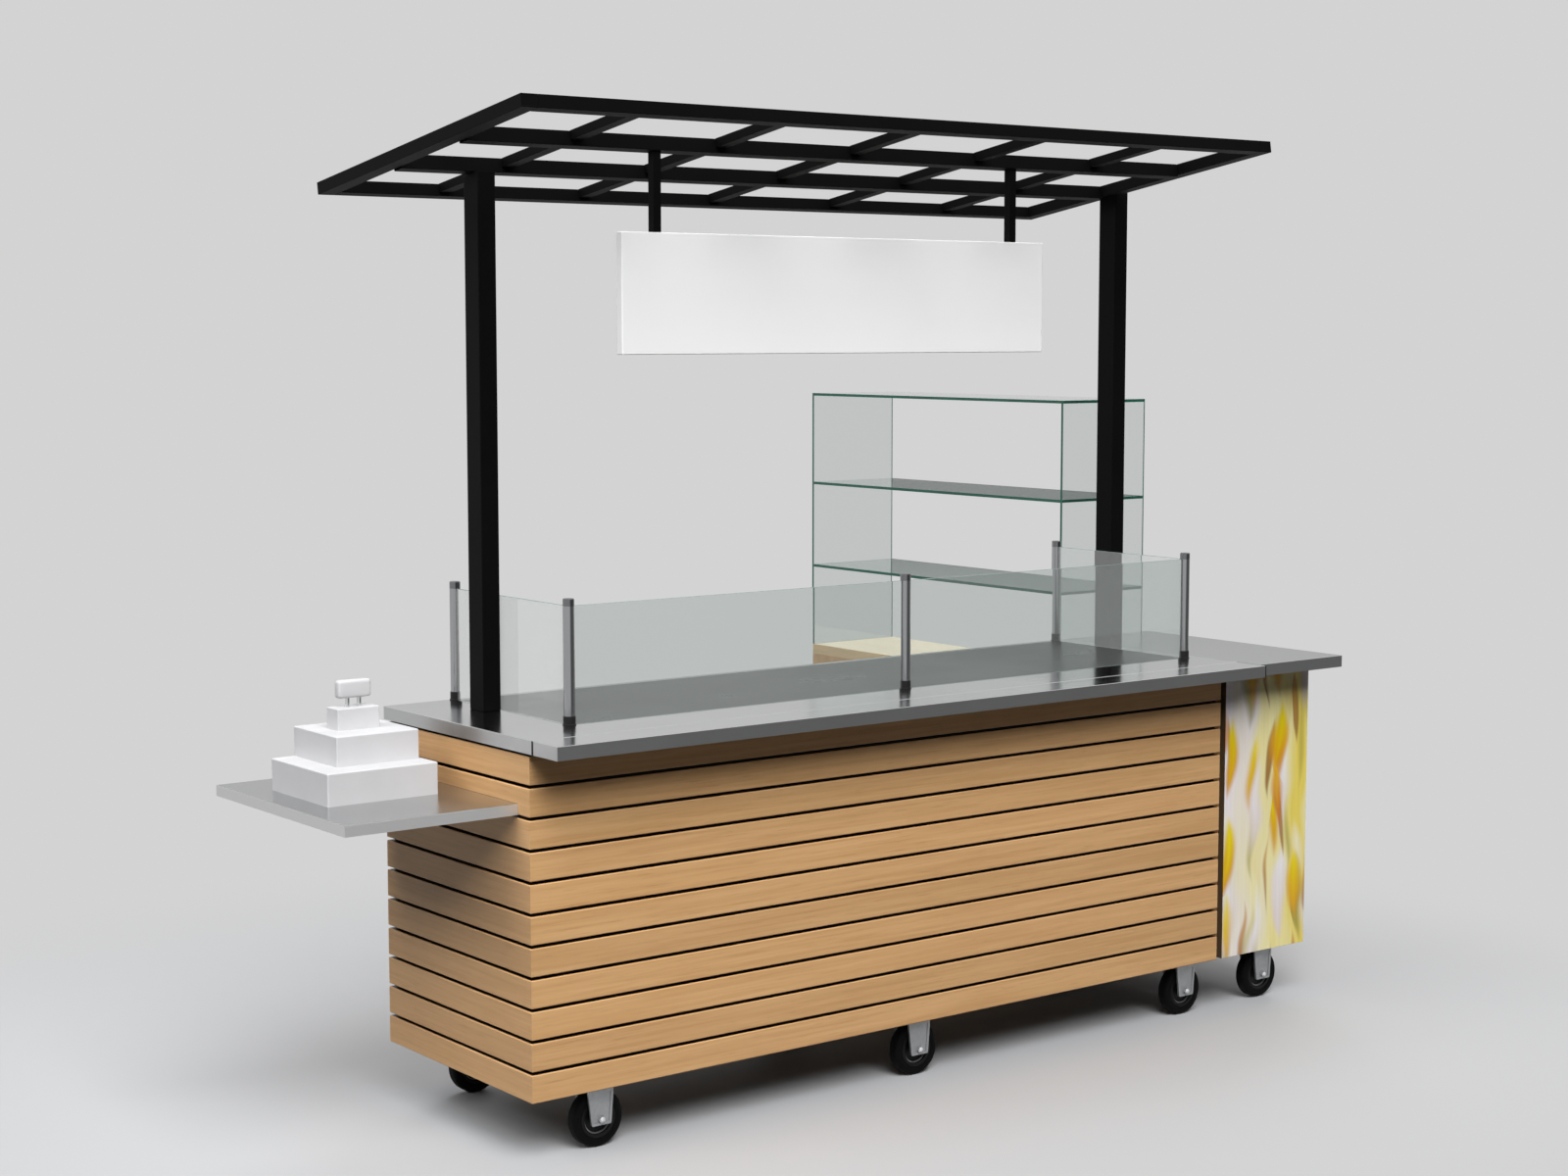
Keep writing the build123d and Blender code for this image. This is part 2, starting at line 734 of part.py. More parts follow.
display_bottom = head_top + display_lift
with BuildPart() as till_display:
    with Locations((head_x, head_y, display_bottom + display_height / 2)):
        Box(display_width, display_depth, display_height)
    fillet(till_display.edges(), display_edge_radius)
    with BuildSketch(Plane((head_x, head_y, head_top))):
        with GridLocations(display_post_spacing, 0, 2, 1):
            Circle(display_post_diameter / 2)
    extrude(amount=display_lift + display_edge_radius)
save(till_display.part, "till_display")

# Caster plates: plate, swivel race and kingpin under the base tubes
with BuildPart() as caster_plates:
    for x, y in casters.values():
        plate_bottom = caster_height - plate_thickness
        race_bottom = crown_height + swivel_gap
        nut_top = crown_height - fork_sheet - swivel_gap
        with BuildSketch(Plane((x, y, plate_bottom))):
            Rectangle(plate_length, plate_width)
        extrude(amount=plate_thickness)
        with BuildSketch(Plane((x, y, race_bottom))):
            Circle(race_diameter / 2)
        extrude(amount=plate_bottom - race_bottom)
        with BuildSketch(Plane((x, y, nut_top))):
            Circle(kingpin_diameter / 2)
        extrude(amount=race_bottom - nut_top)
        with BuildSketch(Plane((x, y, nut_top - king_nut_height))):
            RegularPolygon(king_nut_diameter / 2, 6)
        extrude(amount=king_nut_height)
save(caster_plates.part, "caster_plates")


# Side view of a fork's legs, tapered from the given height to a rounded foot at the axle
def leg_outline(top):
    with Locations((fork_middle, top - fork_top_depth / 2)):
        Rectangle(fork_top_length, fork_top_depth)
    with Locations((caster_trail, wheel_radius)):
        Rectangle(fork_foot_length, 2 * fork_foot_drop)
    make_hull()
    fillet(vertices().group_by(Axis.Y)[0], fork_foot_radius)


# A pressed fork: a round crown over two legs with turned edges, and its axle bolt
def caster_fork(x, y):
    side = Plane((x, y, 0), x_dir=(1, 0, 0), z_dir=(0, -1, 0))
    with BuildPart() as fork:
        with BuildSketch(side):
            leg_outline(crown_height)
        extrude(amount=fork_width / 2, both=True)
        crown_edges = fork.faces().sort_by(Axis.Z)[-1].edges().filter_by(Axis.X)
        fillet(crown_edges, fork_bend_radius)
        with BuildSketch(Plane((x - fork_top_length, y, 0), x_dir=(0, 1, 0), z_dir=(1, 0, 0))) as channel:
            channel_top = crown_height - fork_sheet
            with Locations((0, channel_top / 2)):
                Rectangle(fork_inner_width, channel_top)
            fillet(channel.vertices().group_by(Axis.Y)[-1], fork_bend_radius - fork_sheet)
        extrude(amount=3 * fork_top_length, mode=Mode.SUBTRACT)
        for way in (1, -1):
            with BuildSketch(side.offset(way * fork_width / 2)):
                leg_outline(crown_height - fork_bend_radius)
                offset(amount=-fork_rib_width, mode=Mode.SUBTRACT)
            extrude(amount=way * fork_rib_height)
        with BuildSketch(Plane((x, y, crown_height))):
            Circle(fork_crown_diameter / 2)
        extrude(amount=-fork_sheet)
        with BuildSketch(Plane((x, y, crown_height))):
            Circle(kingpin_diameter / 2 + kingpin_clearance)
        extrude(amount=-2 * fork_sheet, mode=Mode.SUBTRACT)
        with BuildSketch(side):
            with Locations((caster_trail, wheel_radius)):
                Circle(axle_diameter / 2)
        extrude(amount=fork_width / 2, both=True)
        for way in (1, -1):
            with BuildSketch(side.offset(way * fork_width / 2)):
                with Locations((caster_trail, wheel_radius)):
                    RegularPolygon(axle_head_diameter / 2, 6)
            extrude(amount=way * axle_head_height)
    return fork.part


# A wheel: rubber tyre bonded round a moulded hub that turns on the axle bolt
def caster_wheel(x, y):
    centre = (x + caster_trail, y, wheel_radius)
    across = Plane(centre, x_dir=(0, 1, 0), z_dir=(1, 0, 0))
    spin = Axis(centre, (0, 1, 0))
    rim_radius = wheel_radius - tyre_thickness
    boss_width = fork_inner_width - 2 * boss_side_gap
    with BuildPart() as tyre:
        with BuildSketch(across) as section:
            with Locations((0, rim_radius + tyre_thickness / 2)):
                Rectangle(tyre_width, tyre_thickness)
            fillet(section.vertices().group_by(Axis.Y)[-1], tyre_shoulder)
        revolve(axis=spin)
    with BuildPart() as hub:
        with BuildSketch(across):
            with Locations((0, rim_radius - rim_thickness / 2)):
                Rectangle(tyre_width, rim_thickness)
            with Locations((0, rim_radius / 2)):
                Rectangle(web_thickness, rim_radius)
            with Locations((0, boss_diameter / 4)):
                Rectangle(boss_width, boss_diameter / 2)
            with Locations((0, 0)):
                Rectangle(boss_width, axle_diameter + 2 * axle_clearance, mode=Mode.SUBTRACT)
        revolve(axis=spin)
    return Compound(children=[tyre.part, hub.part])


for name, (x, y) in casters.items():
    save(caster_fork(x, y), f"{name}_fork")
    save(caster_wheel(x, y), f"{name}_wheel")
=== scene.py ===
import bmesh
import bpy
import math
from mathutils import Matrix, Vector


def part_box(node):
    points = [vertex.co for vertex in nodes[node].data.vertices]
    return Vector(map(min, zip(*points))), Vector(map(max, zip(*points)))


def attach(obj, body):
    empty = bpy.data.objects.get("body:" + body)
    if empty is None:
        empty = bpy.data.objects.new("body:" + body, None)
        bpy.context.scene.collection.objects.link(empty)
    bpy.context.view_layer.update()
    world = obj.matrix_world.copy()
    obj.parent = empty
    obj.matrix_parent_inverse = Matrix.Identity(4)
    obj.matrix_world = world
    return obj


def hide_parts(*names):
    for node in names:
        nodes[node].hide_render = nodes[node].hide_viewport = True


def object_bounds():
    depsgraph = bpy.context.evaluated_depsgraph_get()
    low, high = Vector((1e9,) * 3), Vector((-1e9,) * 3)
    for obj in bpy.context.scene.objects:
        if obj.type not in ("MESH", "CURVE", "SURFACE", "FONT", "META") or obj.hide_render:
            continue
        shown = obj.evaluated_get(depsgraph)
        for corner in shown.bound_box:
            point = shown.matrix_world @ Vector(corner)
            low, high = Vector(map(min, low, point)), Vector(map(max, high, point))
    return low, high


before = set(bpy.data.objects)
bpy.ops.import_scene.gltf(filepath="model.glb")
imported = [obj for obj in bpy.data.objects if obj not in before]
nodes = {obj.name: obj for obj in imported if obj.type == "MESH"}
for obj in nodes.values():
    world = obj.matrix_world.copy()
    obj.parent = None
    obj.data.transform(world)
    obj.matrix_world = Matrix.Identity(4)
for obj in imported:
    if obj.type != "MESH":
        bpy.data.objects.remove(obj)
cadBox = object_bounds()
mm = 0.001
print("frame loaded,", len(nodes), "nodes")


def linear(hexColour):  # sRGB hex to linear RGBA
    channels = [int(hexColour[i:i + 2], 16) / 255 for i in (1, 3, 5)]
    return (*[c / 12.92 if c <= 0.04045 else ((c + 0.055) / 1.055) ** 2.4 for c in channels], 1.0)


def cells(*sizes):  # pattern sizes in mm to repeats per metre
    return tuple(1000 / size for size in sizes)


def drawnOut(axis, long, wide):  # the same for a pattern that is long one way
    return cells(*[long if name == axis else wide for name in "xyz"])


def around(middle, by):  # a MapRange's results on both sides of a value
    return {3: middle - by, 4: middle + by}


# One node: a key is a property, or a socket's name or number
# A node or socket as value is a link, and a hex value on a socket is a colour
# Mix has its share at 0 and its colours at 6 and 7, and MapRange turns the range 1 to 2 into 3 to 4
def addNode(tree, kind, settings):
    made = tree.nodes.new("ShaderNode" + kind)
    if 6 in settings:
        made.data_type = "RGBA"  # a Mix of colours
    for key, value in settings.items():
        if isinstance(key, str) and key not in made.inputs:
            setattr(made, key, value)
            continue
        if isinstance(value, bpy.types.Node):
            value = next(output for output in value.outputs if output.enabled)
        if isinstance(value, bpy.types.NodeSocket):
            tree.links.new(value, made.inputs[key])
        else:
            made.inputs[key].default_value = linear(value) if isinstance(value, str) else value
    return made


def newMaterial(name):  # also gives its tree, and each point's place in metres
    made = bpy.data.materials.new(name)
    made.use_nodes = True
    tree = made.node_tree
    tree.nodes.clear()
    return made, tree, addNode(tree, "TexCoord", {}).outputs["Object"]


camera = {
    "location": (-3.8175, -5.3315, 1.761),
    "yaw": 37.386,  # degrees from +Y towards +X
    "pitch": -5.684,
    "lens": 59.33, "sensor": 36.0, "reach": 200,
}
cameraData = bpy.data.cameras.new("photoCamera")
cameraData.lens = camera["lens"]
cameraData.sensor_width = camera["sensor"]
cameraData.clip_end = camera["reach"]
cameraObject = bpy.data.objects.new("photoCamera", cameraData)
yaw, pitch = math.radians(camera["yaw"]), math.radians(camera["pitch"])
lookAlong = Vector((math.sin(yaw) * math.cos(pitch), math.cos(yaw) * math.cos(pitch), math.sin(pitch)))
cameraObject.location = camera["location"]
cameraObject.rotation_euler = lookAlong.to_track_quat("-Z", "Y").to_euler()
bpy.context.scene.collection.objects.link(cameraObject)
bpy.context.scene.camera = cameraObject
bpy.context.scene.view_settings.view_transform = "Standard"
print("camera set")

edgeTurn, faceTurn = 0.3, 0.7  # how far a normal points up: an edge below the first, a face above the second


# Planed wood under clear satin lacquer: long soft figure, short pore streaks, each board cut from another place
def planedWood(spec):
    material, tree, place = newMaterial(spec["name"])
    height = addNode(tree, "SeparateXYZ", {0: place}).outputs["Z"]
    board = addNode(tree, "Math", {"operation": "SUBTRACT", 0: height, 1: spec["firstBoard"] * mm})
    board = addNode(tree, "Math", {"operation": "DIVIDE", 0: board, 1: spec["boardPitch"] * mm})
    board = addNode(tree, "Math", {"operation": "FLOOR", 0: board})
    chance = addNode(tree, "TexWhiteNoise", {"noise_dimensions": "1D", "W": board}).outputs["Value"]
    shift = addNode(tree, "VectorMath", {"operation": "SCALE", 0: spec["boardShift"], "Scale": chance})
    cut = addNode(tree, "VectorMath", {"operation": "ADD", 0: place, 1: shift})
    stretch = {}
    for pattern in ("figure", "pores"):
        stretch[pattern] = addNode(tree, "Mapping", {
            "Vector": cut, "Scale": drawnOut(spec["grainAlong"], *spec[pattern])})
    figure = addNode(tree, "TexNoise", {
        "Vector": stretch["figure"], "Scale": 1.0, "Detail": 5.0, "Roughness": 0.55, "Distortion": 0.5})
    pores = addNode(tree, "TexNoise", {
        "Vector": stretch["pores"], "Scale": 1.0, "Detail": 2.0, "Roughness": 0.5})
    figureShare = addNode(tree, "MapRange", {0: figure, 1: spec["figureFrom"], 2: spec["figureTo"]})
    poreShare = addNode(tree, "MapRange", {
        0: pores, 1: spec["poreFrom"], 2: spec["poreTo"], 3: 0.0, 4: spec["poreShow"]})
    wood = addNode(tree, "Mix", {0: figureShare, 6: spec["late"], 7: spec["early"]})
    wood = addNode(tree, "Mix", {0: poreShare, 6: wood, 7: spec["pore"]})
    tone = addNode(tree, "MapRange", {0: chance, **around(1, spec["boardTone"])})
    wood = addNode(tree, "HueSaturation", {"Value": tone, "Color": wood})
    facing = addNode(tree, "SeparateXYZ", {0: addNode(tree, "NewGeometry", {}).outputs["Normal"]})
    level = addNode(tree, "Math", {"operation": "ABSOLUTE", 0: facing.outputs["Z"]})
    if "gapShadeBehind" in spec:  # painted shade: edges that face the next board, deep in the gap, are painted as dark as the backing
        axis, depth = spec["gapShadeBehind"]
        deep = addNode(tree, "SeparateXYZ", {0: place}).outputs[axis]
        deep = addNode(tree, "MapRange", {0: deep, 1: depth, 2: depth + spec["gapShadeFade"] * mm})
        edge = addNode(tree, "MapRange", {0: level, 1: edgeTurn, 2: faceTurn})
        edge = addNode(tree, "Math", {"operation": "MULTIPLY", 0: deep, 1: edge})
        wood = addNode(tree, "Mix", {0: edge, 6: wood, 7: spec["darkTone"]})
    if "lipping" in spec:  # a solid strip glued round the board
        edge = addNode(tree, "MapRange", {0: level, 1: faceTurn, 2: edgeTurn})
        strip = addNode(tree, "Mix", {0: figureShare, 6: spec["pore"], 7: spec["lipping"]})
        wood = addNode(tree, "Mix", {0: edge, 6: wood, 7: strip})
    sheen = addNode(tree, "MapRange", {0: figure, **around(spec["roughness"], spec["sheenVaries"])})
    relief = addNode(tree, "Bump", {
        "Strength": spec["poreRelief"], "Distance": spec["poreDepth"] * mm, "Height": pores})
    surface = addNode(tree, "BsdfPrincipled", {"Base Color": wood, "Roughness": sheen, "Normal": relief})
    addNode(tree, "OutputMaterial", {"Surface": surface})
    return material


slatBoards = {"firstBoard": 134.5, "boardPitch": 68.0, "darkTone": "#1C130C", "gapShadeFade": 1.5}  # as the slats lie
wholeBoard = {"firstBoard": -500.0, "boardPitch": 4000.0}
oak = {
    "early": "#DAAE7B", "late": "#CA9C69", "pore": "#9C7147",
    "figure": (380.0, 10.0), "figureFrom": 0.32, "figureTo": 0.68,
    "pores": (70.0, 2.6), "poreFrom": 0.58, "poreTo": 0.76,  # pores drawn about 5 times too wide, to show
    "poreShow": 0.32, "poreRelief": 0.25, "poreDepth": 0.15,
    "boardShift": (7.0, 5.0, 3.0), "boardTone": 0.05,  # metres to another place in the tree, and its own tone
    "roughness": 0.44, "sheenVaries": 0.06,
}
# painted shade starts this far behind the slats' front faces
gapShadeDepth = 2.5 * mm
oakFront = planedWood({  # long grain on every slat, with painted shade in the gaps
    **oak, **slatBoards, "name": "planedOakFront", "grainAlong": "x",
    "gapShadeBehind": ("Y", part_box("front_slats")[0].y + gapShadeDepth)})
oakEnd = planedWood({
    **oak, **slatBoards, "name": "planedOakEnd", "grainAlong": "y",
    "gapShadeBehind": ("X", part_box("end_slats")[0].x + gapShadeDepth)})
oakVeneer = planedWood({  # sliced leaf on board: upright grain, quieter than the slats
    **oak, **wholeBoard, "name": "oakVeneer", "grainAlong": "z",
    "early": "#CDA574", "late": "#BC9262", "figure": (520.0, 16.0)})
birchDeck = planedWood({  # oiled: pale and silky, with a browner strip round it
    **oak, **wholeBoard, "name": "oiledBirch", "grainAlong": "y",
    "early": "#F1E5CF", "late": "#E7D8BC", "pore": "#CDB58D", "poreShow": 0.2, "figure": (300.0, 14.0),
    "lipping": "#E6C492"})


# Stained fibreboard: nearly black, flat, with a faint fibre mottle
def stainedBoard(spec):
    material, tree, place = newMaterial(spec["name"])
    fibre = addNode(tree, "TexNoise", {"Vector": place, "Scale": cells(spec["fibre"])[0], "Detail": 3.0})
    darkTone = addNode(tree, "Mix", {0: fibre, 6: spec["dark"], 7: spec["light"]})
    relief = addNode(tree, "Bump", {
        "Strength": spec["relief"], "Distance": spec["reliefDepth"] * mm, "Height": fibre})
    surface = addNode(tree, "BsdfPrincipled", {
        "Base Color": darkTone, "Roughness": spec["roughness"], "Normal": relief})
    addNode(tree, "OutputMaterial", {"Surface": surface})
    return material


backing = stainedBoard({
    "name": "stainedFibreboard", "dark": "#0B0806", "light": "#17110C", "roughness": 0.8,
    "fibre": 6.0, "relief": 0.2, "reliefDepth": 0.2})  # fibres drawn several times too coarse, to show


# Worked metal: fine lines along the way it was brushed, drawn or rolled, and a gloss that varies a little
def workedMetal(spec):
    material, tree, place = newMaterial(spec["name"])
    stretch = addNode(tree, "Mapping", {
        "Vector": place, "Scale": drawnOut(spec["linesAlong"], spec["lineLength"], spec["lineWidth"])})
    lines = addNode(tree, "TexNoise", {"Vector": stretch, "Scale": 1.0, "Detail": 3.0, "Roughness": 0.6})
    clouds = addNode(tree, "TexNoise", {"Vector": place, "Scale": cells(spec["patch"])[0], "Detail": 2.0})
    tint = addNode(tree, "Mix", {0: lines, 6: spec["dark"], 7: spec["light"]})
    gloss = addNode(tree, "MapRange", {
        0: clouds, 1: spec["patchFrom"], 2: spec["patchTo"], **around(spec["roughness"], spec["handling"])})
    if "guardShade" in spec:  # painted shade: a field of the sheet inside the guard is painted darker, and made rougher
        (left, front), (right, back) = spec["guardShade"]
        spot = addNode(tree, "SeparateXYZ", {0: place})
        fade = spec["fade"] * mm
        field = 1.0
        for axis, low, high in (("X", left, right), ("Y", front, back)):
            for edge, step in ((low, 1), (high, -1)):
                inside = addNode(tree, "MapRange", {
                    0: spot.outputs[axis], 1: edge - step * fade, 2: edge + step * fade})
                field = addNode(tree, "Math", {"operation": "MULTIPLY", 0: inside, 1: field})
        shade = addNode(tree, "Mix", {0: lines, 6: spec["guardShadeDark"], 7: spec["guardShadeLight"]})
        tint = addNode(tree, "Mix", {0: field, 6: tint, 7: shade})
        gloss = addNode(tree, "Math", {"operation": "MULTIPLY_ADD", 0: field, 1: spec["guardShadeGloss"], 2: gloss})
    metallic = spec["metallic"]
    if "foldPaintedTone" in spec:  # folded edges stay satin; their tone is painted, as shade on the tops and as light on the shelf
        facing = addNode(tree, "SeparateXYZ", {0: addNode(tree, "NewGeometry", {}).outputs["Normal"]})
        upright = addNode(tree, "Math", {"operation": "ABSOLUTE", 0: facing.outputs["Z"]})
        fold = addNode(tree, "MapRange", {0: upright, 1: faceTurn, 2: edgeTurn})
        tint = addNode(tree, "Mix", {0: fold, 6: tint, 7: spec["foldPaintedTone"]})
        gloss = addNode(tree, "Math", {"operation": "MULTIPLY_ADD", 0: fold, 1: spec["foldGloss"], 2: gloss})
        if spec["foldMetallic"] != metallic:
            metallic = addNode(tree, "MapRange", {0: fold, 3: spec["metallic"], 4: spec["foldMetallic"]})
    skin = {"Base Color": tint, "Metallic": metallic, "Roughness": gloss}
    if spec["lineRelief"]:
        skin["Normal"] = addNode(tree, "Bump", {
            "Strength": spec["lineRelief"], "Distance": spec["lineDepth"] * mm, "Height": lines})
    surface = addNode(tree, "BsdfPrincipled", skin)
    addNode(tree, "OutputMaterial", {"Surface": surface})
    return material


stainless = {
    "dark": "#DADBDB", "light": "#E8E9E9", "roughness": 0.17, "handling": 0.02, "metallic": 1.0,
    "lineWidth": 2.5, "lineLength": 400.0,  # grit lines drawn about 20 times too wide, to show
    "lineRelief": 0.0, "lineDepth": 0.02, "patch": 180.0, "patchFrom": 0.3, "patchTo": 0.7,
}
# painted shade: the folds' tone is a little darker than the brushed face
folded = {"foldPaintedTone": "#CBCCCC", "foldGloss": 0.18, "foldMetallic": 1.0}
spotted = {"lineWidth": 4.0, "lineLength": 4.0, "patch": 12.0}  # no direction, as plating has
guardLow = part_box("guard_front_panes")[0]
endPaneLow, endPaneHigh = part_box("guard_end_panes")
steelTop = workedMetal({  # mirrors softly along the brushing, with painted shade inside the guard
    **stainless, **folded, "name": "brushedStainlessTop", "linesAlong": "x",
    "guardShade": ((endPaneLow.x, guardLow.y), (endPaneHigh.x, endPaneHigh.y)), "fade": 3.0,
    "guardShadeDark": "#565858", "guardShadeLight": "#626464", "guardShadeGloss": 0.12})
steelLedge = workedMetal({**stainless, **folded, "name": "brushedStainlessLedge", "linesAlong": "x"})
steelReturn = workedMetal({  # brushed from front to back, and given a darker tint as painted shade
    **stainless, **folded, "name": "brushedStainlessReturn", "linesAlong": "y",
    "dark": "#C8C9C9", "light": "#D6D7D7"})
steelShelf = workedMetal({  # worn by use, so its reflections are softer; its darker tint is painted shade, its lighter folded edge painted light
    **stainless, "name": "brushedStainlessShelf", "linesAlong": "x", "dark": "#BBBCBC", "light": "#C5C6C6",
    "metallic": 0.95, "roughness": 0.24, "foldPaintedTone": "#D6D6D6", "foldGloss": 0.15, "foldMetallic": 0.6})
steelTube = workedMetal({  # drawn and polished: bright and dark bands down its length
    **stainless, "name": "polishedStainlessTube", "linesAlong": "z", "dark": "#A6A7A9", "light": "#BABBBD",
    "roughness": 0.16, "handling": 0.03, "lineWidth": 2.0})
chrome = workedMetal({  # plated: clean bright reflections
    **stainless, **spotted, "name": "chromedSteel", "linesAlong": "z", "dark": "#DCDDDE", "light": "#ECEDEE",
    "roughness": 0.12, "handling": 0.03})
zinc = workedMetal({  # plated after pressing: dull grey with a faint spangle
    **stainless, "name": "zincPlatedPressing", "linesAlong": "z", "dark": "#A0A2A4", "light": "#BCBEC0",
    "roughness": 0.42, "handling": 0.08, "metallic": 0.7,
    "lineWidth": 6.0, "lineLength": 9.0, "patch": 22.0, "lineRelief": 0.3})
zincNut = workedMetal({  # bright plating, paler than the pressing
    **stainless, **spotted, "name": "brightZincNut", "linesAlong": "z", "dark": "#DEDFE0", "light": "#F0F0F1",
    "roughness": 0.3, "handling": 0.05, "metallic": 0.4})
capSteel = workedMetal({  # blackened and polished: deep grey reflections
    **stainless, "name": "darkenedSteelCap", "linesAlong": "x", "dark": "#808184", "light": "#8E8F92",
    "roughness": 0.2, "handling": 0.04, "lineWidth": 3.0, "lineLength": 12.0, "patch": 20.0})
ringSteel = workedMetal({  # plain pressed sheet: soft mid grey
    **stainless, **spotted, "name": "pressedSteelRing", "linesAlong": "z", "dark": "#98999C", "light": "#ACADB0",
    "roughness": 0.42, "handling": 0.06, "metallic": 0.7, "patch": 14.0})
aluminium = workedMetal({  # anodised: an even satin with faint lines from the die
    **stainless, "name": "anodisedExtrusion", "linesAlong": "x", "dark": "#B2B3B4", "light": "#C4C5C6",
    "roughness": 0.36})


# Baked and moulded skins: an even colour that drifts a little, a fine grain and a soft sheen
def evenSkin(spec):
    material, tree, place = newMaterial(spec["name"])
    grain = addNode(tree, "TexNoise", {"Vector": place, "Scale": cells(spec["grain"])[0], "Detail": 2.0})
    flow = addNode(tree, "TexNoise", {"Vector": place, "Scale": cells(spec["flow"])[0], "Detail": 2.0})
    colour = addNode(tree, "Mix", {0: flow, 6: spec["dark"], 7: spec["light"]})
    gloss = addNode(tree, "MapRange", {0: flow, **around(spec["roughness"], spec["glossVaries"])})
    relief = addNode(tree, "Bump", {
        "Strength": spec["grainRelief"], "Distance": spec["grainDepth"] * mm, "Height": grain})
    surface = addNode(tree, "BsdfPrincipled", {
        "Base Color": colour, "Roughness": gloss, "Normal": relief, "Specular IOR Level": spec["specular"]})
    addNode(tree, "OutputMaterial", {"Surface": surface})
    return material


# Powder coat is a cured skin whose ripple breaks up its highlight, here drawn about twice too wide, to show
baked = {"grain": 3.0, "grainRelief": 0.25, "grainDepth": 0.05, "flow": 120.0, "glossVaries": 0.05}
blackCoat = evenSkin({  # swallows nearly all light
    **baked, "name": "blackPowderCoat", "dark": "#060606", "light": "#0C0C0C", "roughness": 0.6,
    "specular": 0.08})
greyCoat = evenSkin({  # plain workshop grey
    **baked, "name": "greyPowderCoat", "dark": "#303134", "light": "#3A3B3E", "roughness": 0.5,
    "specular": 0.5})


# Float glass: nearly colourless through the sheet, green where light runs along it to a ground edge
def floatGlass(spec):
    material, tree, place = newMaterial(spec["name"])
    film = addNode(tree, "TexNoise", {"Vector": place, "Scale": cells(spec["film"])[0], "Detail": 2.0})
    haze = addNode(tree, "MapRange", {
        0: film, 1: spec["filmFrom"], 2: spec["filmTo"], 3: 0.0, 4: spec["filmRoughness"]})
    facing = addNode(tree, "SeparateXYZ", {0: addNode(tree, "NewGeometry", {}).outputs["Normal"]})
    square = addNode(tree, "Math", {"operation": "ABSOLUTE", 0: facing.outputs[spec["sheetFaces"]]})
    sheet = addNode(tree, "MapRange", {0: square, 1: spec["edgeFrom"], 2: spec["edgeTo"]})
    edgeTone = addNode(tree, "Mix", {0: film, 6: spec["edgeDark"], 7: spec["edgeLight"]})
    slant = addNode(tree, "LayerWeight", {"Blend": 0.5})  # painted shade: a flat sheet seen along its length is given a darker colour
    slant = addNode(tree, "MapRange", {0: slant.outputs["Facing"], 1: spec["slantFrom"], 2: spec["slantTo"]})
    through = addNode(tree, "Mix", {0: slant, 6: spec["through"], 7: spec["slantShade"]})
    colour = addNode(tree, "Mix", {0: sheet, 6: edgeTone, 7: through})
    gloss = addNode(tree, "Mix", {"data_type": "FLOAT", 0: sheet, 2: spec["edgeRoughness"], 3: haze})
    clear = addNode(tree, "Math", {"operation": "MULTIPLY", 0: sheet, 1: 1 - spec["veil"]})
    surface = addNode(tree, "BsdfPrincipled", {
        "Base Color": colour, "Roughness": gloss, "IOR": spec["ior"], "Transmission Weight": clear})
    body = addNode(tree, "VolumeAbsorption", {"Color": spec["green"], "Density": spec["density"]})
    addNode(tree, "OutputMaterial", {"Surface": surface, "Volume": body})
    return material


floatSheet = {
    "ior": 1.52, "through": "#FFFFFF", "slantShade": "#FFFFFF", "slantFrom": 0.55, "slantTo": 0.88,
    "film": 90.0, "filmFrom": 0.5, "filmTo": 0.75, "edgeFrom": 0.6, "edgeTo": 0.9, "edgeRoughness": 0.25}
guardSheet = {
    **floatSheet, "green": "#00846B", "density": 31.0, "edgeDark": "#5C766C", "edgeLight": "#779188",
    "filmRoughness": 0.03, "veil": 0.045}  # wiping leaves a thin film that scatters some light
guardFront = floatGlass({**guardSheet, "name": "toughenedGlassFront", "sheetFaces": "Y"})
guardEnd = floatGlass({
    **guardSheet, "name": "toughenedGlassEnd", "sheetFaces": "X", "density": 9.0, "veil": 0.1})
caseSheet = {  # glued edge to edge, so the edges show dark green
    **floatSheet, "green": "#008A70", "density": 15.0, "edgeDark": "#0F4A3A", "edgeLight": "#236854",
    "filmRoughness": 0.02, "veil": 0.0}
caseUpright = floatGlass({**caseSheet, "name": "bondedGlassUpright", "sheetFaces": "Y"})
# painted shade: the shelves and lid darken when seen along the sheet, the shelves most
caseFlat = floatGlass({
    **caseSheet, "name": "bondedGlassFlat", "sheetFaces": "Z", "through": "#F2F8F5", "slantShade": "#95ABA2"})
caseLid = floatGlass({
    **caseSheet, "name": "bondedGlassLid", "sheetFaces": "Z", "through": "#F2F8F5", "slantShade": "#DCE8E3"})


# Moulded plastic takes a spark-eroded grain from its mould, here drawn about 4 times too coarse, to show
moulded = {"grain": 1.0, "grainRelief": 0.2, "grainDepth": 0.04, "glossVaries": 0.05, "specular": 0.5}
whiteAbs = evenSkin({  # a plain shell with a soft sheen
    **moulded, "name": "mouldedWhiteAbs", "dark": "#C6C6C8", "light": "#CECED0", "roughness": 0.45,
    "grain": 1.2, "flow": 60.0})
keyAbs = evenSkin({  # duller than the shell, from fingers
    **moulded, "name": "mouldedGreyAbs", "dark": "#C6C7CA", "light": "#D0D1D3", "roughness": 0.5, "flow": 12.0})
screenAcrylic = evenSkin({  # cast flat: deep and glossy
    **moulded, "name": "castSmokedAcrylic", "dark": "#0B0F10", "light": "#12181A", "roughness": 0.14,
    "grain": 2.0, "flow": 30.0, "grainRelief": 0.02})
footNylon = evenSkin({  # a dull black with a slight shine
    **moulded, "name": "mouldedBlackNylon", "dark": "#161617", "light": "#1F1F20", "roughness": 0.45,
    "specular": 0.3, "flow": 20.0})
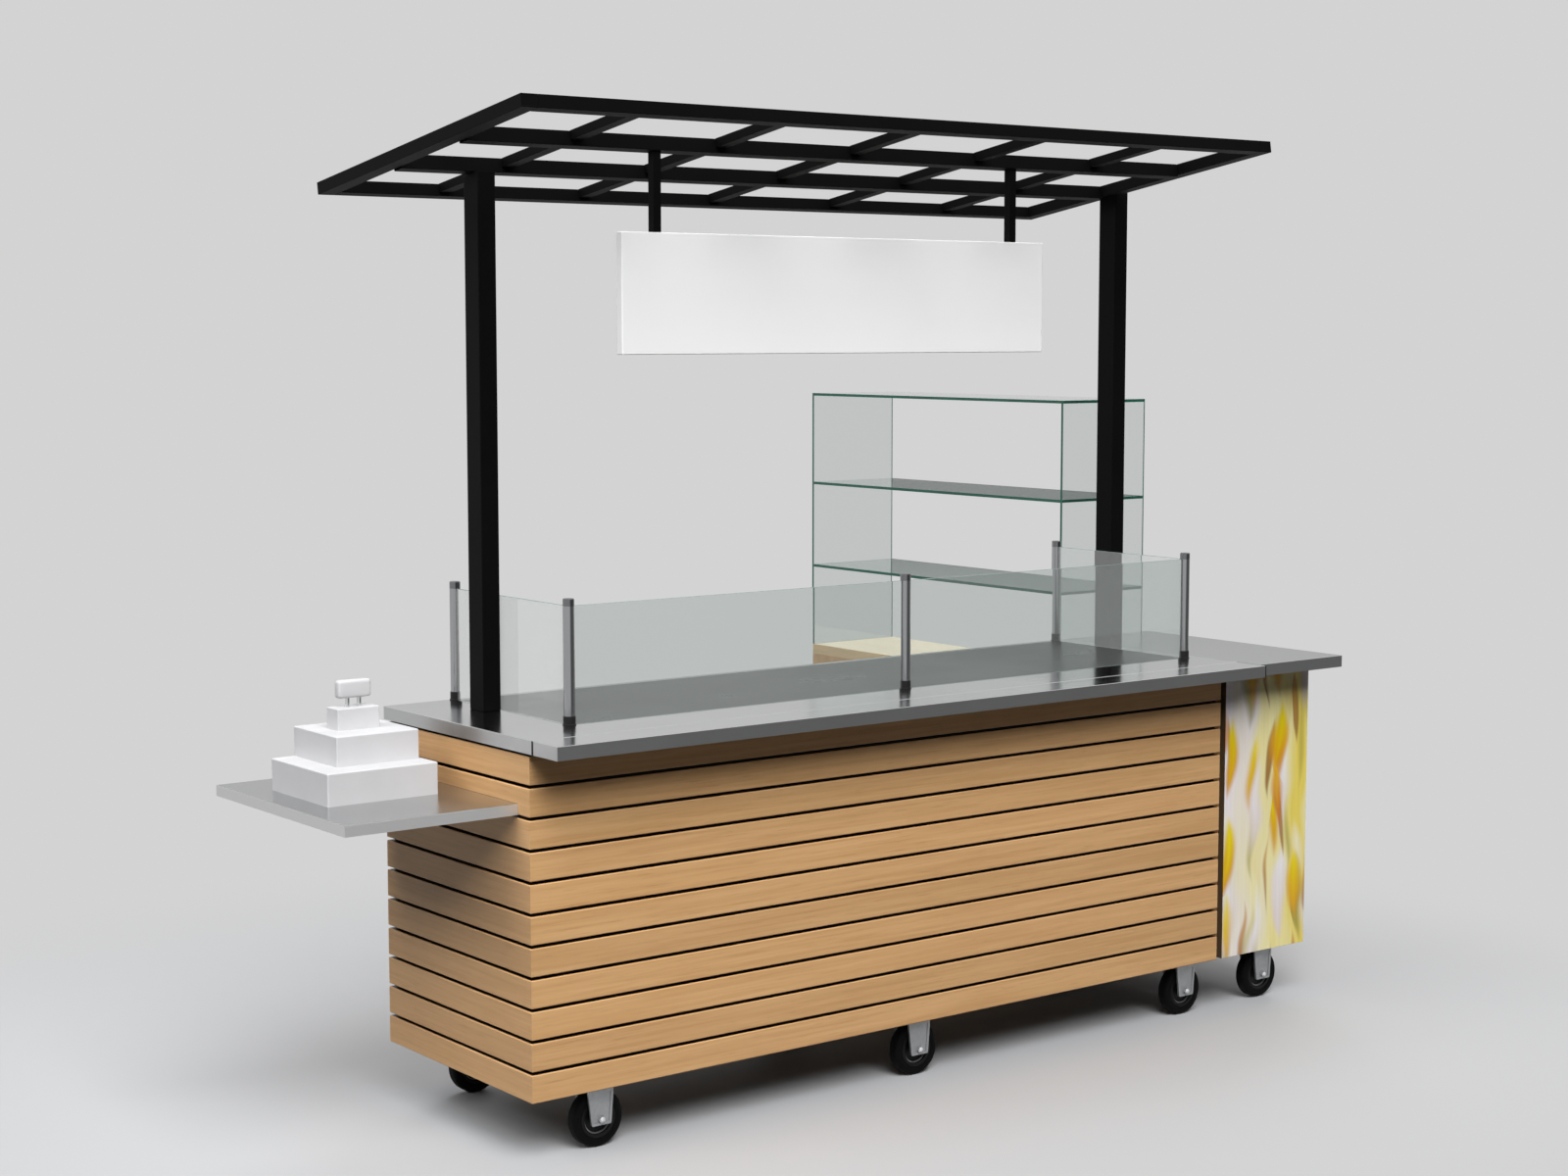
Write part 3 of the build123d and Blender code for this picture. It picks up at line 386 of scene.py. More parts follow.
hubPolypropylene = evenSkin({  # waxy black
    **moulded, "name": "mouldedBlackPolypropylene", "dark": "#0A0A0B", "light": "#101011", "roughness": 0.5,
    "specular": 0.25, "flow": 15.0, "grainRelief": 0.25})
signBoard = evenSkin({  # foamed sheet: a flat even white
    **moulded, "name": "foamedWhiteBoard", "dark": "#F4F4F4", "light": "#F8F8F8", "roughness": 0.6,
    "grain": 1.5, "flow": 200.0, "grainRelief": 0.15})
tyreRubber = evenSkin({  # the deepest black, matt from wear
    **moulded, "name": "vulcanisedRubber", "dark": "#030303", "light": "#080808", "roughness": 0.7,
    "specular": 0.15, "grain": 1.5, "flow": 18.0, "grainRelief": 0.35})


# Printed film laminated to board: a soft wash with broad overlapping petals on the front, dark cut edges
def printedFilm(spec):
    material, tree, place = newMaterial(spec["name"])
    drift = addNode(tree, "TexNoise", {"Vector": place, "Scale": cells(spec["wander"])[0], "Detail": 0.0})
    reach = spec["wanderBy"] * mm
    wander = addNode(tree, "VectorMath", {
        "operation": "MULTIPLY_ADD", 0: drift.outputs["Color"], 1: (reach, 0.0, reach), 2: place})
    spot = addNode(tree, "SeparateXYZ", {0: wander})
    washPlace = addNode(tree, "Mapping", {"Vector": wander, "Scale": cells(*spec["wash"])})
    wash = addNode(tree, "TexNoise", {"Vector": washPlace, "Scale": 1.0, "Detail": 1.0})
    aside = addNode(tree, "MapRange", {
        0: spot.outputs["X"], 1: spec["left"], 2: spec["right"], 3: spec["washLeft"], 4: spec["washRight"]})
    level = addNode(tree, "Math", {"operation": "ADD", 0: wash, 1: aside})
    pale = addNode(tree, "MapRange", {0: level, 1: spec["creamFrom"], 2: spec["creamTo"]})
    warm = addNode(tree, "MapRange", {0: level, 1: spec["creamTo"], 2: spec["strawTo"]})
    picture = addNode(tree, "Mix", {0: pale, 6: spec["white"], 7: spec["cream"]})
    picture = addNode(tree, "Mix", {0: warm, 6: picture, 7: spec["straw"]})
    thin, fat = spec["petalFat"]
    for layer in spec["layers"]:
        wide, tall = cells(*layer["size"])
        start, half = layer["start"], layer["half"]
        u = addNode(tree, "Math", {"operation": "MULTIPLY_ADD", 0: spot.outputs["X"], 1: wide, 2: start})
        v = addNode(tree, "Math", {"operation": "MULTIPLY_ADD", 0: spot.outputs["Z"], 1: tall, 2: start})
        grid = addNode(tree, "CombineXYZ", {0: u, 1: v})
        petal = addNode(tree, "TexVoronoi", {
            "voronoi_dimensions": "2D", "Vector": grid, "Scale": 1.0, "Randomness": 0.9})
        local = addNode(tree, "VectorMath", {"operation": "SUBTRACT", 0: grid, 1: petal.outputs["Position"]})
        local = addNode(tree, "SeparateXYZ", {0: local})
        chance = addNode(tree, "SeparateColor", {0: petal.outputs["Color"]})
        lean = addNode(tree, "MapRange", {0: chance.outputs["Green"], 3: -layer["lean"], 4: layer["lean"]})
        across = addNode(tree, "Math", {
            "operation": "MULTIPLY_ADD", 0: local.outputs["Y"], 1: lean, 2: local.outputs["X"]})
        across = addNode(tree, "Math", {"operation": "ABSOLUTE", 0: across})
        along = addNode(tree, "Math", {"operation": "POWER", 0: local.outputs["Y"], 1: 2.0})
        width = addNode(tree, "Math", {
            "operation": "MULTIPLY_ADD", 0: along, 1: -spec["petalTaper"] * half, 2: half})
        girth = addNode(tree, "MapRange", {0: chance.outputs["Blue"], 3: thin, 4: fat})
        width = addNode(tree, "Math", {"operation": "MULTIPLY", 0: width, 1: girth})
        inside = addNode(tree, "Math", {"operation": "SUBTRACT", 0: width, 1: across})
        solid = addNode(tree, "MapRange", {
            "interpolation_type": "SMOOTHSTEP", 0: inside, 1: 0.0, 2: layer["soft"], 4: layer["cover"]})
        picked = addNode(tree, "Math", {
            "operation": "LESS_THAN", 0: chance.outputs["Red"], 1: layer["share"]})
        show = addNode(tree, "Math", {"operation": "MULTIPLY", 0: solid, 1: picked})
        rise = addNode(tree, "Math", {
            "operation": "MULTIPLY_ADD", 0: across, 1: -spec["petalCup"], 2: local.outputs["Y"]})
        tone = addNode(tree, "MapRange", {0: rise, 1: spec["footEnds"], 2: spec["tipStarts"]})
        colour = addNode(tree, "Mix", {0: tone, 6: layer["foot"], 7: layer["tip"]})
        picture = addNode(tree, "Mix", {0: show, 6: picture, 7: colour})
    streakPlace = addNode(tree, "Mapping", {"Vector": place, "Scale": cells(*spec["streak"])})
    streak = addNode(tree, "TexNoise", {"Vector": streakPlace, "Scale": 1.0, "Detail": 1.0})
    ink = addNode(tree, "MapRange", {
        0: streak, 1: spec["inkFrom"], 2: spec["inkTo"], **around(1, spec["inkVaries"])})
    picture = addNode(tree, "HueSaturation", {"Value": ink, "Color": picture})
    facing = addNode(tree, "SeparateXYZ", {0: addNode(tree, "NewGeometry", {}).outputs["Normal"]})
    front = addNode(tree, "MapRange", {0: facing.outputs["Y"], 1: -spec["edgeFrom"], 2: -spec["edgeTo"]})
    colour = addNode(tree, "Mix", {0: front, 6: spec["core"], 7: picture})
    gloss = addNode(tree, "MapRange", {0: drift, 3: spec["glossLow"], 4: spec["glossHigh"]})
    surface = addNode(tree, "BsdfPrincipled", {
        "Base Color": colour, "Roughness": gloss, "Coat Weight": spec["coat"],
        "Coat Roughness": spec["coatRoughness"]})
    addNode(tree, "OutputMaterial", {"Surface": surface})
    return material


printLow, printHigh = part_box("print_panel")
printFilm = printedFilm({
    "name": "laminatedPrint", "left": printLow.x, "right": printHigh.x,
    "white": "#F6EEF1", "cream": "#FAF0B6", "straw": "#F4DE68", "core": "#5C4A36",
    "wash": (70.0, 1000.0, 600.0), "washLeft": -0.5, "washRight": 0.3,  # paler on the left, warmer on the right
    "creamFrom": 0.2, "creamTo": 0.5, "strawTo": 0.9, "wander": 150.0, "wanderBy": 55.0,
    "streak": (9.0, 1000.0, 220.0), "inkVaries": 0.03, "inkFrom": 0.3, "inkTo": 0.7,
    "petalTaper": 4.5, "petalFat": (0.55, 1.2), "petalCup": 0.9, "footEnds": -0.45, "tipStarts": 0.2,
    "edgeFrom": 0.5, "edgeTo": 0.9, "glossLow": 0.3, "glossHigh": 0.42, "coat": 0.2, "coatRoughness": 0.2,
    "layers": [  # from the first printed to the last, sizes in mm
        {"size": (105.0, 330.0), "start": 3.3, "share": 0.7, "half": 0.5, "soft": 0.42, "cover": 0.9,
         "lean": 0.35, "foot": "#EBD25E", "tip": "#FDF6D6"},
        {"size": (66.0, 300.0), "start": 5.9, "share": 0.5, "half": 0.46, "soft": 0.36, "cover": 0.85,
         "lean": 0.4, "foot": "#8A8026", "tip": "#D6C656"},
        {"size": (96.0, 320.0), "start": 9.4, "share": 0.42, "half": 0.48, "soft": 0.36, "cover": 0.95,
         "lean": 0.35, "foot": "#EBDCDA", "tip": "#FBF8FA"},
        {"size": (48.0, 250.0), "start": 1.7, "share": 0.55, "half": 0.36, "soft": 0.24, "cover": 0.85,
         "lean": 0.4, "foot": "#8A4E1C", "tip": "#CE9438"},
        {"size": (84.0, 260.0), "start": 7.6, "share": 0.36, "half": 0.48, "soft": 0.34, "cover": 1.0,
         "lean": 0.5, "foot": "#E0960E", "tip": "#F4DC06"},
        {"size": (70.0, 240.0), "start": 4.2, "share": 0.2, "half": 0.42, "soft": 0.32, "cover": 0.95,
         "lean": 0.5, "foot": "#C65C0C", "tip": "#EFB81A"},
    ]})
print("materials made,", len(bpy.data.materials))

# What each CAD node is made of, and how far its sharp edges are eased, in mm
finishes = {
    "front_slats": (oakFront, 1.5), "end_slats": (oakEnd, 1.5), "backing_boards": (backing, 0),
    "side_panel": (oakVeneer, 0.6), "floor_board": (oakVeneer, 0.6), "inner_shelf": (oakVeneer, 0.6),
    "left_door": (oakVeneer, 0.8), "right_door": (oakVeneer, 0.8), "return_shelves": (oakVeneer, 0.6),
    "return_inner_board": (oakVeneer, 0.8), "return_outer_boards": (oakVeneer, 0.8),
    "return_partition": (oakVeneer, 0.8), "return_end_board": (oakVeneer, 0.8), "face_frame": (oakVeneer, 1.2),
    "case_deck": (birchDeck, 1.5), "print_panel": (printFilm, 0.6),
    "main_top": (steelTop, 0), "front_ledge": (steelLedge, 0), "return_top": (steelReturn, 0),
    "side_shelf": (steelShelf, 0), "door_tracks": (aluminium, 0.3),
    "frame_rails": (greyCoat, 2.0), "frame_uprights": (greyCoat, 2.0), "frame_cross_tubes": (greyCoat, 2.0),
    "return_base": (greyCoat, 2.0), "canopy_end_bars": (blackCoat, 1.5), "canopy_rails": (blackCoat, 1.5),
    "canopy_cross_bars": (blackCoat, 1.5), "canopy_posts": (blackCoat, 2.0), "sign_rods": (blackCoat, 1.0),
    "sign_box": (signBoard, 0), "stanchions": (steelTube, 0), "stanchion_caps": (capSteel, 0),
    "guard_front_panes": (guardFront, 1.5), "guard_end_panes": (guardEnd, 1.5),
    "case_end_panes": (caseUpright, 0.6), "case_lid": (caseLid, 0.6), "case_shelves": (caseFlat, 0.6),
    "till_case": (whiteAbs, 0), "till_drawer": (whiteAbs, 0.8), "till_body": (whiteAbs, 0),
    "till_display": (whiteAbs, 0), "caster_plates": (zinc, 0.5),
}
easing = {"weld": 0.01, "segments": 2, "sharperThan": 40, "fork": 0.4}  # mm, count, degrees and mm
casterNames = [name[:-len("_wheel")] for name in sorted(nodes) if name.endswith("_wheel")]
for name in casterNames:
    finishes[name + "_fork"] = (zinc, easing["fork"])
for name, (finish, ease) in finishes.items():
    node = nodes[name]
    node.data.materials.clear()
    node.data.materials.append(finish)
    if ease:
        weld = node.modifiers.new("joinFaces", "WELD")
        weld.merge_threshold = easing["weld"] * mm
        bevel = node.modifiers.new("easeEdges", "BEVEL")
        bevel.width = ease * mm
        bevel.segments = easing["segments"]
        bevel.limit_method = "ANGLE"
        bevel.angle_limit = math.radians(easing["sharperThan"])
        bevel.harden_normals = True
for name in ("guard_front_panes", "guard_end_panes", "case_end_panes", "case_lid", "case_shelves"):
    nodes[name].visible_shadow = False  # clear glass lets the lamps through
for name in ("guard_front_panes", "guard_end_panes"):
    nodes[name].visible_glossy = False  # and hardly shows in the brushed top
print("nodes dressed,", len(finishes))


def meshFrom(shape, name, *surfaces):
    mesh = bpy.data.meshes.new(name)
    shape.to_mesh(mesh)
    shape.free()
    for surface in surfaces:
        mesh.materials.append(surface)
    return mesh


crease = math.radians(35)  # edges sharper than this stay crisp


# Turned pieces: a profile of (radius, place along the axis) pairs in mm, swept round the Y axis at each spot
def turned(name, profile, turns, ring, finish, spots=((0, 0),)):
    shape = bmesh.new()
    for spotX, spotZ in spots:
        sweep = []
        for step in range(turns):
            angle = 2 * math.pi * step / turns
            sweep.append([shape.verts.new((
                (spotX + radius * math.cos(angle)) * mm, along * mm, (spotZ + radius * math.sin(angle)) * mm))
                for radius, along in profile])
        for here, there in zip(sweep, sweep[1:] + sweep[:1]):
            for i in range(len(profile) if ring else len(profile) - 1):
                j = (i + 1) % len(profile)
                shape.faces.new((here[i], here[j], there[j], there[i]))
        if not ring:
            for end in (0, -1):
                shape.faces.new([spoke[end] for spoke in sweep])
    bmesh.ops.recalc_face_normals(shape, faces=shape.faces)
    for face in shape.faces:
        face.smooth = True
    mesh = meshFrom(shape, name, finish)
    mesh.set_sharp_from_angle(angle=crease)
    return mesh


def setPiece(name, mesh, place, body, turn=(0.0, 0.0, 0.0)):
    piece = bpy.data.objects.new(name, mesh)
    piece.location = place
    piece.rotation_euler = turn
    bpy.context.scene.collection.objects.link(piece)
    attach(piece, body)
    return piece


def softEdges(piece, width, segments):
    soften = piece.modifiers.new("softEdges", "BEVEL")
    soften.width = width * mm
    soften.segments = segments
    soften.limit_method = "ANGLE"


def bothSides(side):
    return side + [(radius, -along) for radius, along in reversed(side)]


quarterTurn = math.pi / 2
wheel = {  # each profile runs as (radius, place along the axle) in mm, on one side of the wheel
    "radius": 63.5, "halfWidth": 16.0, "shoulder": 9.0, "shoulderSteps": 8, "turns": 96,
    "sidewall": [(43.5, 14.6), (44.6, 15.6), (46.4, 16.0), (49.6, 16.0),
                 (50.2, 16.5), (52.0, 16.5), (52.6, 16.0)],  # with a raised line
    "hub": [(5.05, 20.7), (14.2, 20.7), (15.0, 19.9), (15.6, 6.0), (17.0, 4.5),  # bore, boss and web
            (33.3, 4.5), (34.7, 5.7), (35.5, 14.1), (36.4, 14.8), (42.6, 14.8), (43.5, 13.9)],  # rim
    "ring": [(32.4, 4.4), (34.8, 4.4), (34.8, 9.2), (34.3, 9.8), (32.9, 9.8), (32.4, 9.2)],
}
tread = wheel["radius"] - wheel["shoulder"]
flat = wheel["halfWidth"] - wheel["shoulder"]
tyreSide = list(wheel["sidewall"])
for step in range(wheel["shoulderSteps"] + 1):
    angle = quarterTurn - quarterTurn * step / wheel["shoulderSteps"]
    tyreSide.append((tread + wheel["shoulder"] * math.cos(angle), flat + wheel["shoulder"] * math.sin(angle)))
tyreMesh = turned("casterTyre", bothSides(tyreSide), wheel["turns"], True, tyreRubber)
hubMesh = turned("casterHub", bothSides(wheel["hub"]), wheel["turns"], True, hubPolypropylene)
ringFront = [(radius, -along) for radius, along in wheel["ring"]]
ringMeshes = {
    "front": turned("hubRingFront", ringFront, wheel["turns"], True, ringSteel),
    "back": turned("hubRingBack", wheel["ring"], wheel["turns"], True, ringSteel)}
bolts = {
    "domeRadius": 6.5, "domeHeight": 3.7, "domeFoot": 0.6, "domeAngles": (0, 18, 36, 54, 72, 88), "domeTurns": 32,
    "domeSink": 1.0, "plateBoltFlats": 7.5, "plateBoltHeight": 4.6, "chamfer": (1.0, 0.7), "plateFoot": 144.0,
    "trail": 20.0, "plateBoltSides": 6, "plateSpots": [(-37, -24), (37, -24), (37, 24), (-37, 24)],
}
domeSide = []
for angle in map(math.radians, bolts["domeAngles"]):
    rise = bolts["domeFoot"] + bolts["domeHeight"] * math.sin(angle)
    domeSide.append((bolts["domeRadius"] * math.cos(angle), rise))
domeMesh = turned("axleDome", domeSide, bolts["domeTurns"], False, zincNut)
flats, tall = bolts["plateBoltFlats"], bolts["plateBoltHeight"]
cutIn, cutDown = bolts["chamfer"]
plateBoltSide = [(flats, 0.0), (flats, tall - cutDown), (flats - cutIn, tall)]
plateBoltMesh = turned(
    "plateBolts", plateBoltSide, bolts["plateBoltSides"], False, zinc, bolts["plateSpots"])
sink = bolts["domeSink"] * mm
for name in casterNames:
    wheelBody, forkBody = name + "_wheel", name + "_fork"
    low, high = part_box(wheelBody)
    middle = (low + high) / 2
    tyre = setPiece(name + "_tyre", tyreMesh, middle, wheelBody)
    hub = setPiece(name + "_hub", hubMesh, middle, wheelBody)
    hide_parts(name + "_wheel")
    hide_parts(name + "_wheel")
    for side, ringMesh in ringMeshes.items():
        setPiece(f"{name}_hub_ring_{side}", ringMesh, middle, wheelBody)
    forkLow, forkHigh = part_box(forkBody)
    setPiece(name + "_dome_front", domeMesh, (middle.x, forkLow.y + sink, middle.z), forkBody,
             (0, 0, math.pi))
    setPiece(name + "_dome_back", domeMesh, (middle.x, forkHigh.y - sink, middle.z), forkBody)
    setPiece(name + "_plate_bolts", plateBoltMesh,
             (middle.x - bolts["trail"] * mm, middle.y, bolts["plateFoot"] * mm),
             "cart", (-quarterTurn, 0, 0))
print("casters finished,", len(casterNames))


plugs = {"dishDepth": 0.25, "round": 0.5, "roundSteps": 2}  # dish as a share of its rim, rounding in mm


# Moulded plugs in the open tube ends: a slab on three edges, its outer face dished for the mould
def plug(name, middle, across, up, inward, finish, dish):
    shape = bmesh.new()
    ring = [(-1, -1), (1, -1), (1, 1), (-1, 1)]
    corners = {}
    for i in (0, 1):
        for j, k in ring:
            corners[i, j, k] = shape.verts.new(middle + across * j + up * k + inward * i)
    outer = shape.faces.new([corners[0, j, k] for j, k in ring])
    shape.faces.new([corners[1, j, k] for j, k in reversed(ring)])
    for (j, k), (m, n) in zip(ring, ring[1:] + ring[:1]):
        shape.faces.new((corners[0, j, k], corners[1, j, k], corners[1, m, n], corners[0, m, n]))
    bmesh.ops.recalc_face_normals(shape, faces=shape.faces)
    bmesh.ops.inset_individual(shape, faces=[outer], thickness=dish * mm, depth=-plugs["dishDepth"] * dish * mm)
    piece = setPiece(name, meshFrom(shape, name, finish), (0, 0, 0), "cart")
    softEdges(piece, plugs["round"], plugs["roundSteps"])


tubeEnds = {
    "tilt": 8.9, "barWidth": 40.0, "barHeight": 28.0, "barWall": 2.0,
    "postWidth": 45.0, "postDepth": 60.0, "postWall": 3.0, "depth": 14.0, "shy": 0.2, "dish": 3.0,
}
tilt = math.radians(tubeEnds["tilt"])
slope, upright = Vector((0, math.cos(tilt), -math.sin(tilt))), Vector((0, math.sin(tilt), math.cos(tilt)))
barLow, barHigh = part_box("canopy_end_bars")
barHeight = tubeEnds["barHeight"] * mm
halfBar = tubeEnds["barWidth"] * mm / 2
frontEnd = Vector((0, barLow.y + barHeight * math.sin(tilt), barHigh.z)) - upright * barHeight / 2
backEnd = Vector((0, barHigh.y, barLow.z + barHeight * math.cos(tilt))) - upright * barHeight / 2
halfAcross = Vector(((tubeEnds["barWidth"] / 2 - tubeEnds["barWall"]) * mm, 0, 0))
halfUp = upright * (tubeEnds["barHeight"] / 2 - tubeEnds["barWall"]) * mm
for side, x in (("left", barLow.x + halfBar), ("right", barHigh.x - halfBar)):
    for end, spot, inward in (("front", frontEnd, slope), ("back", backEnd, -slope)):
        plug(f"canopy_plug_{side}_{end}", spot + Vector((x, 0, 0)) + inward * tubeEnds["shy"] * mm,
             halfAcross, halfUp, inward * tubeEnds["depth"] * mm, blackCoat, tubeEnds["dish"])
postLow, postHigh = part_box("canopy_posts")
postMiddle = Vector((
    postHigh.x - tubeEnds["postWidth"] * mm / 2, (postLow.y + postHigh.y) / 2,
    postHigh.z - tubeEnds["postDepth"] / 2 * mm * math.tan(tilt) - tubeEnds["shy"] * mm))
halfRun = Vector((0, 1, -math.tan(tilt))) * (tubeEnds["postDepth"] / 2 - tubeEnds["postWall"]) * mm
plug("post_plug", postMiddle, Vector(((tubeEnds["postWidth"] / 2 - tubeEnds["postWall"]) * mm, 0, 0)),
     halfRun, Vector((0, 0, -tubeEnds["depth"] * mm)), blackCoat, tubeEnds["dish"])
print("tube ends plugged")

# Black rubber seals in the seams of the tops, which also stand in for the seams' shadow lines as painted shade,
# and moulded feet under the guard's stanchions
sealsAndShade = {"inset": 0.3, "clear": 0.05, "stripHalf": 2.6, "stripProud": 0.5, "stripDepth": 0.3, "dish": 0.7}
inset = sealsAndShade["inset"] * mm
topLow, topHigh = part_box("main_top")
ledgeLow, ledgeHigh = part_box("front_ledge")
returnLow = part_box("return_top")[0]
midTop = (topLow.z + topHigh.z) / 2
halfTall = Vector((0, 0, (topHigh.z - topLow.z) / 2 - inset))
plug("ledge_seal_and_shade", Vector(((ledgeHigh.x + returnLow.x) / 2, ledgeLow.y + inset, midTop)),
     Vector(((returnLow.x - ledgeHigh.x) / 2 - sealsAndShade["clear"] * mm, 0, 0)), halfTall,
     Vector((0, ledgeHigh.y - ledgeLow.y - inset, 0)), tyreRubber, sealsAndShade["dish"])
plug("top_seal_and_shade", Vector((topLow.x - sealsAndShade["stripProud"] * mm, topLow.y, midTop)),
     Vector((0, sealsAndShade["stripHalf"] * mm, 0)), halfTall,
     Vector(((sealsAndShade["stripProud"] + sealsAndShade["stripDepth"]) * mm, 0, 0)), tyreRubber, sealsAndShade["dish"])
feet = {"tube": 12.5, "turns": 48, "profile": [  # a flange on the top, then a sleeve up the tube
    (12.55, 0.0), (15.0, 0.0), (15.0, 2.0), (13.6, 3.2), (13.6, 19.0), (12.85, 20.0), (12.55, 20.0)]}
footMesh = turned("stanchionFoot", feet["profile"], feet["turns"], True, footNylon)
standLow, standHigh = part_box("stanchions")
standX = (standLow.x + feet["tube"] * mm, standHigh.x - feet["tube"] * mm)
standY = (standLow.y + feet["tube"] * mm, standHigh.y - feet["tube"] * mm)
for name, x, y in (
        ("front_left", standX[0], standY[0]), ("front_middle", sum(standX) / 2, standY[0]),
        ("front_right", standX[1], standY[0]), ("rear_left", standX[0], standY[1]),
        ("rear_right", standX[1], standY[1])):
    setPiece("stanchion_foot_" + name, footMesh, (x, y, standLow.z), "cart", (quarterTurn, 0, 0))
print("seals and feet set")

# Small fittings: finger cups in the doors, and the till's drawer lock, display and keys
fittings = {
    "cupInset": 70.0, "cupTurns": 64, "lockTurns": 48,
    "cup": [(0.3, -7.9), (19.8, -7.9), (19.8, 0.0), (22.6, 0.0), (22.6, 0.5), (21.8, 1.0),  # back and rim
            (20.4, 1.0), (18.9, 0.2), (18.9, -6.6), (18.0, -7.4), (0.3, -7.4)],  # and the hollow
    "lock": [(8.0, -0.5), (8.0, 1.4), (7.2, 2.2), (5.2, 2.2), (4.6, 1.7), (4.0, 1.7), (3.6, 2.0), (0.3, 2.0)],
}
cupMesh = turned("fingerCup", fittings["cup"], fittings["cupTurns"], False, steelTube)
for name, fromLow in (("left_door", True), ("right_door", False)):
    low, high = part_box(name)
    x = low.x + fittings["cupInset"] * mm if fromLow else high.x - fittings["cupInset"] * mm
    setPiece(name + "_cup", cupMesh, (x, high.y, (low.z + high.z) / 2), name)
low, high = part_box("till_drawer")
lockMesh = turned("drawerLock", fittings["lock"], fittings["lockTurns"], False, chrome)
lockPlace = ((low.x + high.x) / 2, high.y, (low.z + high.z) / 2)
setPiece("till_lock", lockMesh, lockPlace, "till_drawer")

till = {
    "bodyHeight": 39.0, "round": 7.0, "roundSteps": 5, "frame": 3.0, "recess": 1.2, "recessSlope": 0.3,
    "crease": 40, "sleeveFoot": [(6.5, 0.0), (6.5, 1.2), (4.9, 2.0)], "sleeveRadius": 4.9, "sleeveCore": 0.4,
    "sleeveSpacing": 28.0, "sleeveTurns": 40, "sleeveOverlap": 1.0,
    "keyColumns": 5, "keyRows": 3, "keyAside": 29.5, "keyPitch": (18.5, 19.0), "keySize": (15.0, 13.5),
    "keyHeight": 4.0, "keySunk": 0.3, "keyTaper": 1.6, "keyBack": 14.0, "keyTop": 909.0, "keyRound": 0.9,
    "keyRoundSteps": 3,
}
low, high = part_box("till_display")
bodyFoot = high.z - till["bodyHeight"] * mm
shape = bmesh.new()
bmesh.ops.create_cube(shape, size=1.0)
for vert in shape.verts:
    vert.co = [low[i] + (vert.co[i] + 0.5) * (high[i] - low[i]) if i < 2 else
               bodyFoot + (vert.co[i] + 0.5) * (high[i] - bodyFoot) for i in range(3)]
bmesh.ops.bevel(
    shape, geom=shape.edges[:], offset=till["round"] * mm, segments=till["roundSteps"],
    profile=0.5, affect="EDGES")
for face in shape.faces:
    face.smooth = True
glassFace = max(shape.faces, key=lambda face: face.normal.y * face.calc_area())
bmesh.ops.inset_individual(shape, faces=[glassFace], thickness=till["frame"] * mm)
bmesh.ops.inset_individual(
    shape, faces=[glassFace], thickness=till["recessSlope"] * mm, depth=-till["recess"] * mm)
glassFace.material_index = 1
mesh = meshFrom(shape, "tillDisplay", whiteAbs, screenAcrylic)
mesh.set_sharp_from_angle(angle=math.radians(till["crease"]))
display = setPiece("till_display_body", mesh, (0, 0, 0), "cart")
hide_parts("till_display")
sleeveTop = (bodyFoot - low.z) / mm + till["sleeveOverlap"]
core = till["sleeveCore"]
sleeveMesh = turned("displaySleeve", [
    (core, 0.0), *till["sleeveFoot"], (till["sleeveRadius"], sleeveTop), (core, sleeveTop)],
    till["sleeveTurns"], False, chrome)
for side, step in (("left", -1), ("right", 1)):
    x = (low.x + high.x) / 2 + step * till["sleeveSpacing"] / 2 * mm
    post = setPiece("display_post_" + side, sleeveMesh, (x, (low.y + high.y) / 2, low.z), "cart",
                    (quarterTurn, 0, 0))
    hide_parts("till_display")
low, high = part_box("till_body")
shape = bmesh.new()
for column in range(till["keyColumns"]):
    for row in range(till["keyRows"]):
        fromMiddle = till["keyAside"] + (column - (till["keyColumns"] - 1) / 2) * till["keyPitch"][0]
        keyX = (low.x + high.x) / 2 + fromMiddle * mm
        keyY = high.y - till["keyBack"] * mm - row * till["keyPitch"][1] * mm
        rings = []
        for rise, taper in ((-till["keySunk"], 0.0), (till["keyHeight"], till["keyTaper"])):
            halfX, halfY = [(size / 2 - taper) * mm for size in till["keySize"]]
            rings.append([shape.verts.new((keyX + i * halfX, keyY + j * halfY, (till["keyTop"] + rise) * mm))
                          for i, j in ((-1, -1), (1, -1), (1, 1), (-1, 1))])
        shape.faces.new(rings[1])
        shape.faces.new(rings[0][::-1])
        for i in range(4):
            j = (i + 1) % 4
            shape.faces.new((rings[0][i], rings[0][j], rings[1][j], rings[1][i]))
keys = setPiece("till_keys", meshFrom(shape, "tillKeys", keyAbs), (0, 0, 0), "cart")
softEdges(keys, till["keyRound"], till["keyRoundSteps"])
print("fittings set")

studio = {
    "backdrop": "#D3D3D3",
    "floor": "#B3B4B6", "floorSpan": 60, "floorRoughness": 0.7,
    "floorBounce": "#303030",  # how the floor looks to bounced light, so that shadows stay deep
    "floorClear": 0.0, "floorGone": 1.3,  # metres from the cart where the floor melts into the backdrop
    "ambient": 0.14, "ambientFrom": 0.1, "ambientTo": 0.6, "ambientLow": 0.1,  # soft light from above the horizon
    "ceiling": 0.85, "ceilingLow": 0.3, "ceilingHigh": 0.55,  # bright cloth overhead, as polished metal sees it
    "horizonLow": 0.085, "horizonHigh": 0.15, "horizonDim": 0.4,  # metal and glass see a dimmer band low down
    "skirtLow": 0.028, "skirtHigh": 0.042,  # but not right at the backdrop's foot
    "gloom": 0.14, "gloomTowards": (0.607, -0.795, 0.0),  # the studio's open side, to the front right
    "gloomOuter": 0.6, "gloomInner": 0.85,
    "gloomNear": -1.4, "gloomFar": -2.6,  # where the floor in front goes dark to polished metal
    "lampsAim": (0.0, -0.4, 0.7),
}
